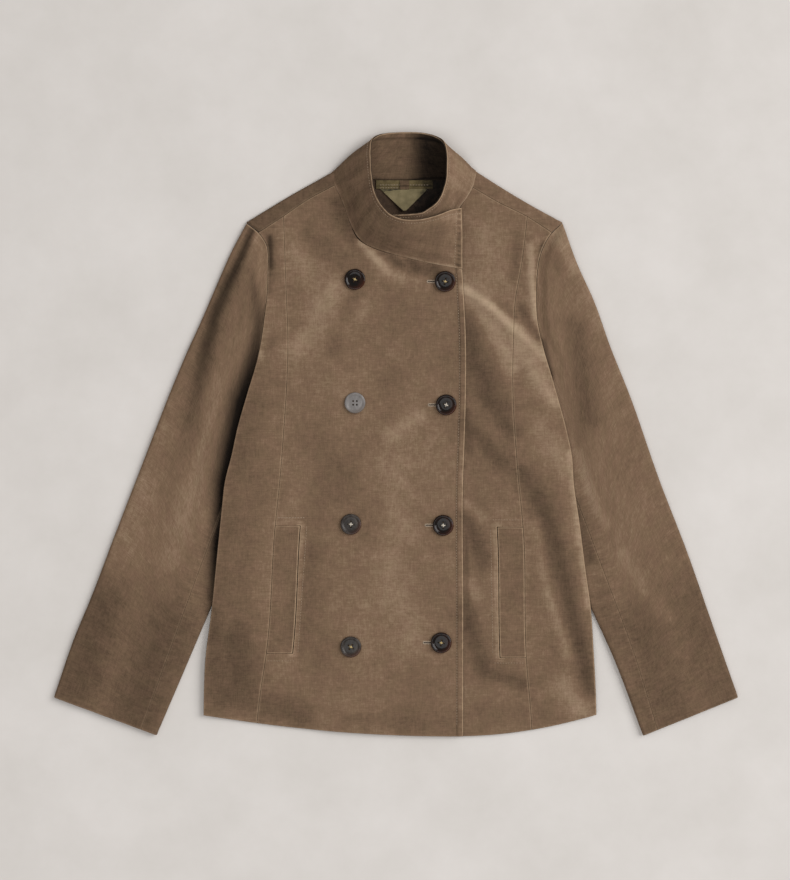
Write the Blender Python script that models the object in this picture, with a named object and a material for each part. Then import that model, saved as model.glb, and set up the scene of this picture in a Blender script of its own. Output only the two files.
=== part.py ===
"""Double-breasted velvet jacket laid flat, each cut piece a thin closed wall.

Lengths are in millimetres until a mesh is made. The wearer's right is at -X, the collar at +Y,
and the surface that the jacket lies on is Z = 0.
"""
import math

import bmesh
import bpy
import numpy as np
from mathutils import Matrix, Vector

MM = 0.001

# Cloth thicknesses and clearances
CLOTH = 1.7
BACK_CLOTH = 1.6
SLEEVE_CLOTH = 1.6
COLLAR_CLOTH = 2.2
TRIM_CLOTH = 1.0
SEAM_GAP = 0.3
YOKE_GAP = 0.2
LAYER_GAP = 0.6

# How high the fronts stand on the back, and where the step over the covered front eases out
PUFF = 1.4
COVERED_PUFF = 0.5
HEM_EASE = (-4.0, 28.0)
SIDE_EASE = 20.0
UNDERLAP_X = -68.0
OVERLAP_STEP = 2.2
OVERLAP_STEP_X = (-108.0, -72.0)
OVERLAP_STEP_Y = (222.0, 270.0)
NECK_RISE_AT_YOKE = 0.8
NECK_RISE_AT_FRONT = 1.5
NECK_RISE_X = (-66.0, -24.0)
NECK_RISE_REACH = 34.0
CURVE_SAMPLES = 40

# Where the covered front comes into view, at the chest and above the collar's end
COVER_X = 84.0
COVER_X_AT_NECK = 44.0
COVER_NECK_Y = (228.0, 292.0)
COVER_EASE = 22.0

# Heights of a sleeve in the open, under the body and at the armhole, and of the cap beside it
SLEEVE_FULL = 7.0
SLEEVE_PRESSED = 4.0
SLEEVE_AT_ARMHOLE = 5.3
SLEEVE_CAP = 1.5
SLEEVE_CAP_REACH = 16.0
SLEEVE_ARMHOLE_EASE = (8.0, 55.0)
SLEEVE_EDGE_EASE = (3.0, 27.0)
SLEEVE_CAP_EASE = 13.0

# How the back rides over the sleeves, and how far it stays inside the fronts' outline
BACK_OVER_SLEEVE = 4.6
LIFT_MARGIN = 14.0
LIFT_RAMP_ACROSS = 70.0
LIFT_RAMP_UP = 56.0
BACK_INSET = 2.6
BACK_ARMHOLE_INSET = 0.7
BACK_CORNER_RISE = 28.0
BACK_ROWS = (0.0, 0.12, 0.25, 0.38, 0.5, 0.6, 0.68, 0.74, 0.8, 0.855, 0.905, 0.945, 0.975, 1.0)

# Hem: lowest point and how much it rises towards each side
HEM_LOW_X = 70.0
HEM_LOW_Y = -361.6
HEM_RISE_RIGHT = 25.4 / 300.0 ** 2
HEM_RISE_LEFT = 26.0 / 170.0 ** 2

# Side seam and armhole of each side: y, x
RIGHT_EDGE = (
    (-365, -231.2), (-336, -230.4), (-269, -228.1), (-208, -220.4), (-157, -215.3), (-93, -208.8),
    (-55, -204.4), (-25, -196.8), (9, -189.4), (46, -178.8), (95, -164.6), (142, -157.2),
    (175, -153.8), (198, -153.4), (214, -153.2), (226, -154.6), (236, -160.0), (242, -164.8),
    (247, -170.6), (254, -180.0),
)
LEFT_EDGE = (
    (-365, 240.6), (-336, 240.0), (-312, 239.3), (-258, 236.4), (-205, 232.8), (-162, 226.8),
    (-104, 219.4), (-59, 212.9), (-26, 210.6), (7, 203.8), (40, 194.9), (71, 186.0),
    (105, 176.0), (140, 169.0), (169, 168.0), (196, 169.3), (218, 173.8), (230, 179.0),
    (241, 186.2), (254, 199.6),
)
# Princess seam of each side: y, x
RIGHT_PRINCESS = (
    (-365, -167.8), (-348, -166.8), (-311, -162.7), (-262, -155.3), (-110, -144.6), (-55, -139.0),
    (14, -133.7), (67, -130.4), (110, -129.4), (166, -131.5), (262, -134.8), (300, -136.0),
)
LEFT_PRINCESS = (
    (-365, 163.0), (-352, 162.5), (-269, 156.0), (-111, 151.8), (-55, 146.4), (-17, 143.4),
    (27, 140.5), (71, 139.4), (115, 140.5), (160, 142.7), (205, 150.5), (261, 157.0), (300, 160.0),
)
# Front edge of the overlap: y, x
OVERLAP_EDGE = (
    (-365, 80.6), (-200, 80.6), (-55, 80.5), (-7, 82.2), (41, 83.5), (123, 83.5), (173, 80.9),
    (221, 78.0), (300, 78.0),
)
# Shoulder fold and yoke seam of each side, from the neck to the armhole: x, y
RIGHT_SHOULDER = ((-76.6, 314.0), (-121.7, 289.0), (-178.6, 254.4))
RIGHT_YOKE = ((-73.6, 298.2), (-106.0, 281.2), (-134.8, 261.5), (-163.6, 242.6))
LEFT_SHOULDER = ((95.2, 315.6), (129.4, 293.8), (163.9, 273.4), (197.2, 254.4))
LEFT_YOKE = ((92.2, 296.0), (120.0, 279.6), (157.6, 260.8), (185.2, 242.2))
# Neck seam of each front, from the yoke seam to the front edge: x, y
RIGHT_NECK = (
    (-73.6, 298.2), (-65.4, 280.9), (-58.8, 263.4), (-53.0, 247.0), (-46.1, 234.0), (-36.0, 226.6),
    (-24.1, 221.4), (3.5, 213.2), (37.9, 205.0), (82.0, 197.2),
)
LEFT_NECK = (
    (92.2, 296.0), (86.0, 285.0), (77.0, 272.0), (70.0, 258.0), (60.0, 244.5), (46.0, 234.5),
    (28.0, 227.0), (8.0, 222.0), (-20.0, 217.0), (-68.0, 211.0),
)
# Back neck seam between the shoulder folds: x, y
BACK_NECK = (
    (-76.6, 311.2), (-70.0, 309.6), (-60.0, 307.4), (-44.0, 305.9), (-14.0, 305.4), (34.0, 305.4),
    (60.0, 306.2), (78.0, 308.0), (88.0, 310.6), (95.2, 312.6),
)

# Cells along each shoulder and across the back neck, and points along each run of a top edge
SHOULDER_CELLS = 5
NECK_CELLS = 9
RUN_POINTS = 16

# Rows of a centre front below, beside and above its pocket
POCKET_ROWS = (4, 5, 15)
# Rows of a side panel: upper y, rows
SIDE_ROWS = ((-240.0, 4), (60.0, 10), (196.0, 6), (None, 5))
# Columns of the panels as shares of their width, the centre fronts' up to and past the neck corner
RIGHT_COLUMNS_TO_CORNER = (0.215,)
RIGHT_COLUMNS_PAST_CORNER = (0.315, 0.345, 0.38, 0.42, 0.48, 0.56, 0.65, 0.74, 0.83, 0.92, 0.975, 1.0)
LEFT_COLUMNS_TO_CORNER = (0.0, 0.14, 0.28, 0.4, 0.5, 0.58, 0.64, 0.675)
LEFT_COLUMNS_PAST_CORNER = (0.78,)
RIGHT_SIDE_COLUMNS = (0.0, 0.06, 0.2, 0.45, 0.72, 1.0)
LEFT_SIDE_COLUMNS = (0.0, 0.28, 0.55, 0.8, 0.94, 1.0)

# Pocket welts: lower and upper end, and share of the centre front's width
RIGHT_WELT = (-262.2, -109.2, 0.134)
LEFT_WELT = (-267.4, -110.8, 0.141)
WELT_ROWS = 9
WELT_COLUMNS = (0.0, 0.08, 0.5, 0.92, 1.0)

# Sleeve edges in plan, from the shoulder or underarm to the cuff: x, y
RIGHT_SLEEVE_OUTER = (
    (-180.6, 253.6), (-198.0, 217.1), (-215.0, 178.6), (-234.4, 133.6), (-247.2, 105.7),
    (-311.4, -54.6), (-336.2, -118.7), (-365.2, -195.0), (-385.8, -244.8), (-409.8, -314.6),
)
RIGHT_SLEEVE_INNER = ((-107.0, 60.0), (-222.6, -209.6), (-251.5, -277.8), (-286.7, -360.1))
LEFT_SLEEVE_OUTER = (
    (200.2, 254.0), (217.1, 204.6), (237.1, 160.2), (257.0, 104.6), (279.2, 49.2),
    (315.6, -54.6), (349.8, -143.4), (378.7, -226.2), (409.8, -314.6),
)
LEFT_SLEEVE_INNER = ((117.6, 44.0), (234.0, -208.6), (258.8, -263.4), (296.0, -360.6))
RIGHT_UNDERARM_Y = 95.0
LEFT_UNDERARM_Y = 71.0
FRONT_SEAM_SHARE = 0.85
BACK_SEAM_SHARE = 0.36
ARMHOLE_POINTS = 14
ARMHOLE_GAP = 0.45
ARMHOLE_TOP_DROP = 0.8
SLEEVE_SECTIONS = 15
# Distances from a folded sleeve edge at which its rounding is drawn
SLEEVE_NOSE = (0.0, 0.5, 1.6, 3.6)
# Columns of the upper and under sleeve on the face that shows and on the face below
UPPER_COLUMNS = (9, 3)
UNDER_COLUMNS = (3, 5)

# Soft folds: from x, from y, to x, to y, half width, height
RIGHT_FOLDS = (
    (-48, 233, -19, 207, 16, 1.0), (-30, 206, 56, 180, 13, -0.9), (-108, 250, -96, 196, 17, -0.8),
    (-120, 218, -108, 168, 16, 0.8), (-150, 130, -66, 62, 30, 0.7), (-104, 6, -40, -92, 28, -0.7),
    (-22, -150, -62, -318, 30, 0.8), (18, 104, 50, -66, 24, 0.7), (-128, -95, -140, -275, 22, 0.8),
    (-196, -60, -206, -220, 15, 0.8), (-184, -130, -196, -316, 13, -0.8), (-90, -352, -86, -300, 20, 0.7),
    (16, -354, 10, -290, 22, -0.5),
)
LEFT_FOLDS = (
    (84, 173, 113, 155, 15, 1.8), (113, 155, 137, 131, 15, 1.9), (137, 131, 197, 71, 15, 1.6),
    (89, 125, 113, 65, 17, -1.1), (113, 65, 125, 17, 16, -1.0), (83, 17, 119, -43, 12, -0.9),
    (89, -79, 107, -151, 12, -0.9), (89, -223, 113, -271, 12, -0.8), (101, -277, 161, -295, 11, -0.8),
    (161, -55, 179, -151, 13, -1.1), (179, -151, 221, -307, 13, -1.2), (176, -44, 214, -232, 11, 0.9),
    (161, 233, 166, 130, 11, 1.2), (132, -95, 138, -278, 20, 0.7), (112, 232, 122, 190, 16, 0.6),
)
RIGHT_SLEEVE_FOLDS = (
    (-178, 240, -199, 197, 11, -1.1), (-199, 197, -229, 113, 13, -1.3), (-229, 113, -241, 17, 14, -1.2),
    (-241, 17, -240, -79, 14, -0.9), (-205, 125, -259, -199, 20, 0.7), (-300, -120, -342, -240, 20, 0.6),
    (-330, -250, -300, -330, 18, -0.7),
)
LEFT_SLEEVE_FOLDS = (
    (197, 161, 215, 17, 13, -1.1), (194, 233, 206, 192, 11, 0.8), (236, 60, 262, -80, 20, 0.7),
    (300, -140, 340, -250, 20, 0.6), (280, -180, 300, -300, 16, -0.7),
)

# Stand collar, from the overlapping end round the back to the covered end.
# Outer face at the neck seam and at the top edge: base x, y, z, top x, y, z
COLLAR = (
    (79.8, 198.4, 8.9, 78.4, 270.0, 20.0), (60.0, 202.0, 8.9, 65.4, 266.5, 29.0),
    (38.0, 206.0, 8.9, 51.6, 260.3, 35.0), (20.0, 210.2, 8.9, 34.8, 255.0, 40.0),
    (3.5, 214.4, 8.9, 17.3, 253.0, 42.0), (-12.0, 218.8, 8.8, 3.6, 255.0, 42.5),
    (-26.0, 223.6, 8.6, -7.6, 260.3, 42.5), (-37.0, 229.0, 8.3, -14.0, 266.5, 42.5),
    (-45.4, 237.0, 7.9, -19.5, 273.5, 42.0), (-52.0, 249.0, 7.5, -24.0, 282.0, 41.5),
    (-58.2, 265.0, 7.1, -27.0, 292.0, 41.0), (-65.0, 283.0, 6.8, -28.9, 305.8, 39.0),
    (-72.4, 298.4, 6.5, -30.0, 322.0, 36.0), (-74.6, 307.0, 6.0, -30.4, 338.0, 30.0),
    (-75.0, 312.6, 4.2, -28.6, 351.0, 22.0), (-70.0, 311.6, 2.2, -22.0, 357.6, 15.0),
    (-60.0, 308.8, 1.0, -12.0, 360.2, 11.5), (-44.0, 306.8, 0.5, -2.0, 361.0, 10.2),
    (-14.0, 306.0, 0.4, 10.0, 361.5, 9.8), (34.0, 306.0, 0.4, 24.0, 361.3, 10.0),
    (60.0, 306.9, 0.5, 36.0, 360.0, 11.2), (78.0, 309.2, 1.0, 47.0, 356.8, 14.6),
    (88.6, 312.4, 2.2, 55.0, 351.4, 21.0), (93.8, 314.2, 4.0, 59.0, 343.0, 28.0),
    (93.4, 308.0, 5.6, 60.4, 330.0, 34.0), (91.0, 296.6, 5.6, 60.4, 315.0, 37.6),
    (84.6, 285.0, 5.2, 59.6, 301.0, 38.6), (75.6, 272.2, 4.8, 56.5, 289.2, 38.0),
    (68.6, 258.6, 4.5, 53.4, 281.8, 37.0), (58.8, 245.4, 4.4, 48.0, 274.0, 36.0),
    (45.2, 235.6, 4.4, 39.2, 267.2, 34.0), (27.6, 228.1, 4.4, 29.6, 262.2, 33.0),
    (8.0, 223.1, 4.4, 12.0, 260.6, 32.0), (-8.0, 220.4, 4.4, -4.0, 260.4, 31.5),
)
COLLAR_BULGE = 1.6
COLLAR_ROWS = 5
SECTIONS_PER_COLLAR_ROW = 2

# Neck tape, tab and label: lowest x, highest x, lowest y, highest y
NECK_TAPE = (-24.0, 44.0, 294.8, 304.6)
HANGER_TAB = (4.8, 15.6, 293.6, 304.4)
LABEL_TOP = ((-23.0, 294.3), (42.0, 294.3))
LABEL_TIP = (10.3, 267.8)
LABEL_TIP_HALF_WIDTH = 1.6
LABEL_TIP_RISE = 4.0

# Buttons: name, x, y, turn of the holes in degrees
BUTTONS = (
    ("button_right_1", -49.2, 185.4, 20), ("button_right_2", -49.2, 37.8, 45),
    ("button_right_3", -54.0, -107.4, 40), ("button_right_4", -54.0, -253.8, 10),
    ("button_left_1", 58.8, 183.0, 30), ("button_left_2", 60.0, 35.4, 25),
    ("button_left_3", 56.4, -108.6, 45), ("button_left_4", 54.0, -249.0, 35),
)
BUTTON_RADIUS = 12.5
BUTTON_SIDES = 16
BUTTON_HOLE_RADIUS = 1.1
BUTTON_HOLE_PLACE = 4.4
BUTTON_HOLE_SIDES = 6
# Turned profile from the middle of the underside to the middle of the dish: radius, height
BUTTON_PROFILE = ((9.0, 0.0), (12.2, 0.9), (12.5, 2.4), (11.2, 3.5), (9.4, 3.1), (7.8, 2.3))
BUTTON_FLOOR = 2.3
# Reach over which a button finds the slope of the cloth, and points under its rim
BUTTON_SLOPE_REACH = 9.0
BUTTON_RIM_POINTS = 12

# Roughness, and colours as sRGB
CLOTH_ROUGHNESS = 0.9
TRIM_ROUGHNESS = 0.85
HORN_ROUGHNESS = 0.25
VELVET = (0.455, 0.365, 0.290)
TAPE_OLIVE = (0.370, 0.318, 0.224)
LABEL_OLIVE = (0.408, 0.361, 0.275)
HORN = (0.120, 0.085, 0.062)


def smoothstep(low, high, value):
    """Ease from 0 at low to 1 at high."""
    share = np.clip((np.asarray(value, float) - low) / (high - low), 0.0, 1.0)
    return share * share * (3.0 - 2.0 * share)


def smooth_table(rows, at):
    """Second column of a table at the given places of its first, on a smooth curve."""
    keys, values = np.array(rows, float).T
    slopes = np.gradient(values, keys)
    at = np.clip(np.asarray(at, float), keys[0], keys[-1])
    low = np.clip(np.searchsorted(keys, at) - 1, 0, len(keys) - 2)
    span = keys[low + 1] - keys[low]
    t = (at - keys[low]) / span
    start = (1 + 2 * t) * (1 - t) ** 2 * values[low] + t * (1 - t) ** 2 * span * slopes[low]
    end = t * t * (3 - 2 * t) * values[low + 1] + t * t * (t - 1) * span * slopes[low + 1]
    return start + end


def curve_at(points, share):
    """Points of a smooth curve through a list of points, at shares of its length."""
    points = np.array(points, float)
    steps = np.linalg.norm(np.diff(points, axis=0), axis=1)
    along = np.concatenate([[0.0], np.cumsum(steps)]) / steps.sum()
    columns = [smooth_table(np.column_stack([along, column]), share) for column in points.T]
    return np.stack(columns, axis=-1)


def right_edge(y):
    return smooth_table(RIGHT_EDGE, y)


def left_edge(y):
    return smooth_table(LEFT_EDGE, y)


def right_princess(y):
    return smooth_table(RIGHT_PRINCESS, y)


def left_princess(y):
    return smooth_table(LEFT_PRINCESS, y)


def overlap_edge(y):
    return smooth_table(OVERLAP_EDGE, y)


def hem(x):
    """Height of the hem line at x."""
    across = np.asarray(x, float) - HEM_LOW_X
    rise = np.where(across < 0, HEM_RISE_RIGHT, HEM_RISE_LEFT)
    return HEM_LOW_Y + rise * across ** 2


def fold_height(folds, x, y):
    """Sum of soft ridges and troughs, each along its own line."""
    total = np.zeros(np.broadcast(x, y).shape)
    for from_x, from_y, to_x, to_y, half_width, height in folds:
        line = np.array([to_x - from_x, to_y - from_y], float)
        share = ((x - from_x) * line[0] + (y - from_y) * line[1]) / line.dot(line)
        share = np.clip(share, 0.0, 1.0)
        away = (x - from_x - share * line[0]) ** 2 + (y - from_y - share * line[1]) ** 2
        total = total + height * np.exp(-away / half_width ** 2)
    return total


def distance_to_curve(points, x, y):
    """Distance in plan to a curve given by its points."""
    samples = curve_at(points, np.linspace(0.0, 1.0, CURVE_SAMPLES))
    off_x = np.asarray(x)[..., None] - samples[:, 0]
    off_y = np.asarray(y)[..., None] - samples[:, 1]
    return np.hypot(off_x, off_y).min(axis=-1)


def side_lift(x, y, inner, underarm):
    """Share of the full lift where one sleeve lies under the back, easing out to nothing."""
    toward = math.copysign(1.0, -underarm[0])
    seam = np.array(inner[0]) - np.array(inner[1])
    seam = seam / np.linalg.norm(seam)
    off_seam = toward * ((x - inner[1][0]) * seam[1] - (y - inner[1][1]) * seam[0])
    end = np.array(inner[0]) - np.array(underarm)
    end = end / np.linalg.norm(end)
    off_end = -toward * ((x - underarm[0]) * end[1] - (y - underarm[1]) * end[0])
    across = smoothstep(LIFT_MARGIN, LIFT_MARGIN + LIFT_RAMP_ACROSS, off_seam)
    upward = smoothstep(LIFT_MARGIN, LIFT_MARGIN + LIFT_RAMP_UP, off_end)
    return (1 - across) * (1 - upward)


def back_lift(x, y):
    """How far the sleeves underneath lift the back's underside."""
    right = side_lift(x, y, RIGHT_SLEEVE_INNER, (float(right_edge(RIGHT_UNDERARM_Y)), RIGHT_UNDERARM_Y))
    left = side_lift(x, y, LEFT_SLEEVE_INNER, (float(left_edge(LEFT_UNDERARM_Y)), LEFT_UNDERARM_Y))
    return BACK_OVER_SLEEVE * np.where(np.asarray(x) < 0, right, left)


def front_rest(x, y):
    """Lower face of a front that lies straight on the back."""
    return back_lift(x, y) + BACK_CLOTH + LAYER_GAP


def edge_ease(from_side, x, y, underarm_y):
    """Share of the puff left near the side seam and the hem, whole at the armhole."""
    at_side = smoothstep(0.0, SIDE_EASE, from_side)
    at_armhole = smoothstep(underarm_y - SIDE_EASE, underarm_y + 2 * SIDE_EASE, y)
    return np.maximum(at_side, at_armhole) * smoothstep(*HEM_EASE, y - hem(x))


def over_front_height(x, y):
    """Lower face of the overlapping front and of the side panel beside it."""
    ease = edge_ease(x - right_edge(y), x, y, RIGHT_UNDERARM_Y)
    step = OVERLAP_STEP * smoothstep(*OVERLAP_STEP_X, x) * (1 - smoothstep(*OVERLAP_STEP_Y, y))
    neck_away = distance_to_curve(RIGHT_NECK, x, y)
    rise = NECK_RISE_AT_YOKE + (NECK_RISE_AT_FRONT - NECK_RISE_AT_YOKE) * smoothstep(*NECK_RISE_X, x)
    rise = rise * np.exp(-(neck_away / NECK_RISE_REACH) ** 2)
    folds = fold_height(RIGHT_FOLDS, x, y)
    return front_rest(x, y) + step + rise + ease * (PUFF + folds)


def under_front_height(x, y):
    """Lower face of the covered front and of the side panel beside it."""
    ease = edge_ease(left_edge(y) - x, x, y, LEFT_UNDERARM_Y)
    cover = COVER_X + (COVER_X_AT_NECK - COVER_X) * smoothstep(*COVER_NECK_Y, y)
    shown = smoothstep(cover, cover + COVER_EASE, x)
    folds = fold_height(LEFT_FOLDS, x, y)
    puff = COVERED_PUFF * (1 - shown) + shown * (PUFF + folds)
    return front_rest(x, y) + ease * puff


def sleeve_height(x, y, outside, underarm_y, folds):
    """Upper face of a sleeve: pressed under the body, full away from it."""
    above = smoothstep(*SLEEVE_ARMHOLE_EASE, y - underarm_y)
    pressed = SLEEVE_PRESSED + (SLEEVE_AT_ARMHOLE - SLEEVE_PRESSED) * above
    cap = np.exp(-((outside - SLEEVE_CAP_REACH) / SLEEVE_CAP_REACH) ** 2)
    full = SLEEVE_FULL + SLEEVE_CAP * above * cap
    near, far = SLEEVE_EDGE_EASE
    away = smoothstep(near, far - SLEEVE_CAP_EASE * above, outside)
    return pressed + (full - pressed) * away + away ** 2 * fold_height(folds, x, y)


def shell(name, outer, inner, colour, roughness, keep=None):
    """Closed wall between two grids of points, with the cells that keep names."""
    rows, columns = outer.shape[:2]
    keep = np.ones((rows - 1, columns - 1), bool) if keep is None else keep
    mesh = bmesh.new()
    made = {}

    def vertex(layer, row, column):
        key = (layer, row, column)
        if key not in made:
            grid = outer if layer == 0 else inner
            made[key] = mesh.verts.new(Vector(grid[row, column]) * MM)
        return made[key]

    for row, column in zip(*np.nonzero(keep)):
        corners = [(row, column), (row, column + 1), (row + 1, column + 1), (row + 1, column)]
        mesh.faces.new([vertex(0, *corner) for corner in corners])
        mesh.faces.new([vertex(1, *corner) for corner in reversed(corners)])
        neighbours = [(row - 1, column), (row, column + 1), (row + 1, column), (row, column - 1)]
        for side, (other_row, other_column) in enumerate(neighbours):
            inside = 0 <= other_row < rows - 1 and 0 <= other_column < columns - 1
            if inside and keep[other_row, other_column]:
                continue
            start, end = corners[side], corners[(side + 1) % 4]
            rim = [vertex(0, *end), vertex(0, *start), vertex(1, *start), vertex(1, *end)]
            mesh.faces.new(rim)
    bmesh.ops.recalc_face_normals(mesh, faces=mesh.faces)
    data = bpy.data.meshes.new(name)
    mesh.to_mesh(data)
    mesh.free()
    return place(name, data, colour, roughness)


def place(name, data, colour, roughness):
    """Object for a mesh, with a material of its own."""
    data.materials.clear()
    data.materials.append(finish(name, colour, roughness))
    data.shade_smooth()
    data.set_sharp_from_angle(angle=math.radians(50.0))
    piece = bpy.data.objects.new(name, data)
    bpy.context.scene.collection.objects.link(piece)
    return piece


def finish(name, colour, roughness):
    """Plain Principled material of an sRGB colour."""
    linear = [((part + 0.055) / 1.055) ** 2.4 for part in colour]
    material = bpy.data.materials.new(name)
    material.use_nodes = True
    surface = material.node_tree.nodes["Principled BSDF"]
    surface.inputs["Base Color"].default_value = (*linear, 1.0)
    surface.inputs["Roughness"].default_value = roughness
    surface.inputs["Metallic"].default_value = 0.0
    return material


def moved(grid, distance):
    """A grid of points moved along its own normals."""
    across = np.gradient(grid, axis=1)
    along = np.gradient(grid, axis=0)
    normal = np.cross(across, along)
    normal = normal / np.linalg.norm(normal, axis=2, keepdims=True)
    return grid + distance * normal


def flat_wall(plan_x, plan_y, height, thickness):
    """Upper and lower points of a wall that lies on a height function."""
    lower = height(plan_x, plan_y)
    under = np.stack([plan_x, plan_y, lower], axis=-1)
    over = np.stack([plan_x, plan_y, lower + thickness], axis=-1)
    return over, under


def straight_runs(corners):
    """Close points along the straight runs between corners."""
    corners = np.array(corners, float)
    places = np.arange(len(corners))
    at = np.linspace(0.0, places[-1], RUN_POINTS * places[-1] + 1)
    return np.column_stack([np.interp(at, places, corners[:, 0]), np.interp(at, places, corners[:, 1])])


def panel_plan(left, right, columns, top_edge, zones):
    """Plan grid of a front panel between two seams, the hem and its top edge.

    zones lists the rows below, along and above the pocket as (upper y, rows), the last with no y.
    """
    shares = np.array(columns, float)
    low = np.full(len(shares), HEM_LOW_Y)
    for _ in range(4):
        low = hem(left(low) + (right(low) - left(low)) * shares)
    edge = straight_runs(top_edge)
    edge_share = (edge[:, 0] - left(edge[:, 1])) / (right(edge[:, 1]) - left(edge[:, 1]))
    order = np.argsort(edge_share)
    top = np.interp(shares, edge_share[order], edge[order, 1] - YOKE_GAP)
    levels = [low]
    for upper, count in zones:
        start = levels[-1]
        end = top if upper is None else np.full(len(shares), upper)
        levels += [start + (end - start) * step / count for step in range(1, count + 1)]
    plan_y = np.array(levels)
    plan_x = left(plan_y) + (right(plan_y) - left(plan_y)) * shares
    return plan_x, plan_y


def yoke_points(seam):
    """The corners that a yoke seam has on both of its pieces, from the neck to the armhole."""
    return [tuple(point) for point in curve_at(seam, np.linspace(0.0, 1.0, SHOULDER_CELLS + 1))]


def shifted(function, offset):
    """The same seam, moved sideways."""
    return lambda y: function(y) + offset


def underlap_edge(y):
    """Straight hidden edge of the covered front."""
    return np.full(np.shape(y), UNDERLAP_X)


def width_share(point, left, right):
    """Share of a panel's width at which a point lies."""
    x, y = point
    return float((x - left(y)) / (right(y) - left(y)))


def build_centre_front(name, left, right, columns, top_edge, welt, welt_columns, height):
    """Centre front with a notch in which the pocket welt lies."""
    low, high, _ = welt
    below, beside, above = POCKET_ROWS
    zones = ((low, below), (high, beside), (None, above))
    plan_x, plan_y = panel_plan(left, right, columns, top_edge, zones)
    over, under = flat_wall(plan_x, plan_y, height, CLOTH)
    keep = np.ones((plan_x.shape[0] - 1, plan_x.shape[1] - 1), bool)
    keep[below:below + beside, welt_columns] = False
    return shell(name, over, under, VELVET, CLOTH_ROUGHNESS, keep)


def build_welt(name, left, right, welt, at_left, height):
    """Pocket welt that fills the notch, a seam gap clear of it."""
    low, high, share = welt
    rows = np.linspace(low + SEAM_GAP, high - SEAM_GAP, WELT_ROWS)
    shares = np.array(WELT_COLUMNS)
    plan_y = np.repeat(rows[:, None], len(shares), axis=1)
    width = (right(plan_y) - left(plan_y)) * share - SEAM_GAP
    start = left(plan_y) if at_left else right(plan_y) - width
    plan_x = start + width * shares
    over, under = flat_wall(plan_x, plan_y, height, CLOTH)
    return shell(name, over, under, VELVET, CLOTH_ROUGHNESS)


def build_side_front(name, left, right, columns, top_edge, height):
    """Side panel between the princess seam and the side seam or armhole."""
    plan_x, plan_y = panel_plan(left, right, columns, top_edge, SIDE_ROWS)
    over, under = flat_wall(plan_x, plan_y, height, CLOTH)
    return shell(name, over, under, VELVET, CLOTH_ROUGHNESS)


def build_fronts():
    """The two centre fronts, their side panels and the pocket welts."""
    half = SEAM_GAP / 2
    seam = shifted(right_princess, half)
    corner = width_share(RIGHT_YOKE[0], seam, overlap_edge)
    columns = (0.0, RIGHT_WELT[2], *RIGHT_COLUMNS_TO_CORNER, corner, *RIGHT_COLUMNS_PAST_CORNER)
    yoke = yoke_points(RIGHT_YOKE)
    top = yoke[::-1] + list(RIGHT_NECK[1:])
    build_centre_front("front_right", seam, overlap_edge, columns, top, RIGHT_WELT, [0], over_front_height)
    build_welt("pocket_welt_right", seam, overlap_edge, RIGHT_WELT, True, over_front_height)
    build_side_front("side_front_right", right_edge, shifted(right_princess, -half), RIGHT_SIDE_COLUMNS, yoke,
                     over_front_height)

    seam = shifted(left_princess, -half)
    corner = width_share(LEFT_YOKE[0], underlap_edge, seam)
    columns = (*LEFT_COLUMNS_TO_CORNER, corner, *LEFT_COLUMNS_PAST_CORNER, 1.0 - LEFT_WELT[2], 1.0)
    yoke = yoke_points(LEFT_YOKE)
    top = list(LEFT_NECK[:0:-1]) + yoke
    welt_cell = [len(columns) - 2]
    build_centre_front("front_left", underlap_edge, seam, columns, top, LEFT_WELT, welt_cell,
                       under_front_height)
    build_welt("pocket_welt_left", underlap_edge, seam, LEFT_WELT, False, under_front_height)
    build_side_front("side_front_left", shifted(left_princess, half), left_edge, LEFT_SIDE_COLUMNS, yoke,
                     under_front_height)


def coons(start, end, first, last, rows):
    """Grid of points between two facing curves across and two along, at the given rows."""
    u = np.linspace(0.0, 1.0, len(start))[None, :, None]
    v = rows[:, None, None]
    across = (1 - v) * start[None] + v * end[None]
    along = (1 - u) * first[:, None] + u * last[:, None]
    corners = (1 - u) * ((1 - v) * start[0] + v * end[0]) + u * ((1 - v) * start[-1] + v * end[-1])
    return across + along - corners


def shoulder_profile(fold, seam, height):
    """Outer points from the flat back round the shoulder fold to the yoke seam."""
    direction = (seam - fold) / np.linalg.norm(seam - fold)
    radius = height / 2
    points = []
    for angle in (-90, -45, 0, 45, 90):
        turn = math.radians(angle)
        plan = fold + direction * radius * (1 - math.cos(turn))
        points.append((plan[0], plan[1], radius * (1 + math.sin(turn))))
    middle = (fold + direction * radius + seam) / 2
    points.append((middle[0], middle[1], height))
    points.append((seam[0], seam[1], height))
    return np.array(points)


def shoulder_profiles(fold_line, seam_points, height):
    """Shoulder profiles along one shoulder, at the corners of its yoke seam."""
    folds = curve_at(fold_line, np.linspace(0.0, 1.0, SHOULDER_CELLS + 1))
    seams = np.array(seam_points) + (0.0, YOKE_GAP)
    tops = height(seams[:, 0], seams[:, 1]) + CLOTH
    return np.array([shoulder_profile(*row) for row in zip(folds, seams, tops)])


def back_side(edge, into, top_corner, underarm_y):
    """Side seam and armhole of the back, from the hem to the shoulder."""
    low = HEM_LOW_Y + BACK_CORNER_RISE
    side_y = low + (top_corner[1] - low) * np.array(BACK_ROWS)
    at_armhole = smoothstep(underarm_y - 2 * SIDE_EASE, underarm_y + 2 * SIDE_EASE, side_y)
    inset = BACK_INSET + (BACK_ARMHOLE_INSET - BACK_INSET) * at_armhole
    side = np.column_stack([edge(side_y) + into * inset, side_y])
    side[0, 1] = hem(side[0, 0]) + BACK_INSET
    side[-1] = top_corner
    return side


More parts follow.
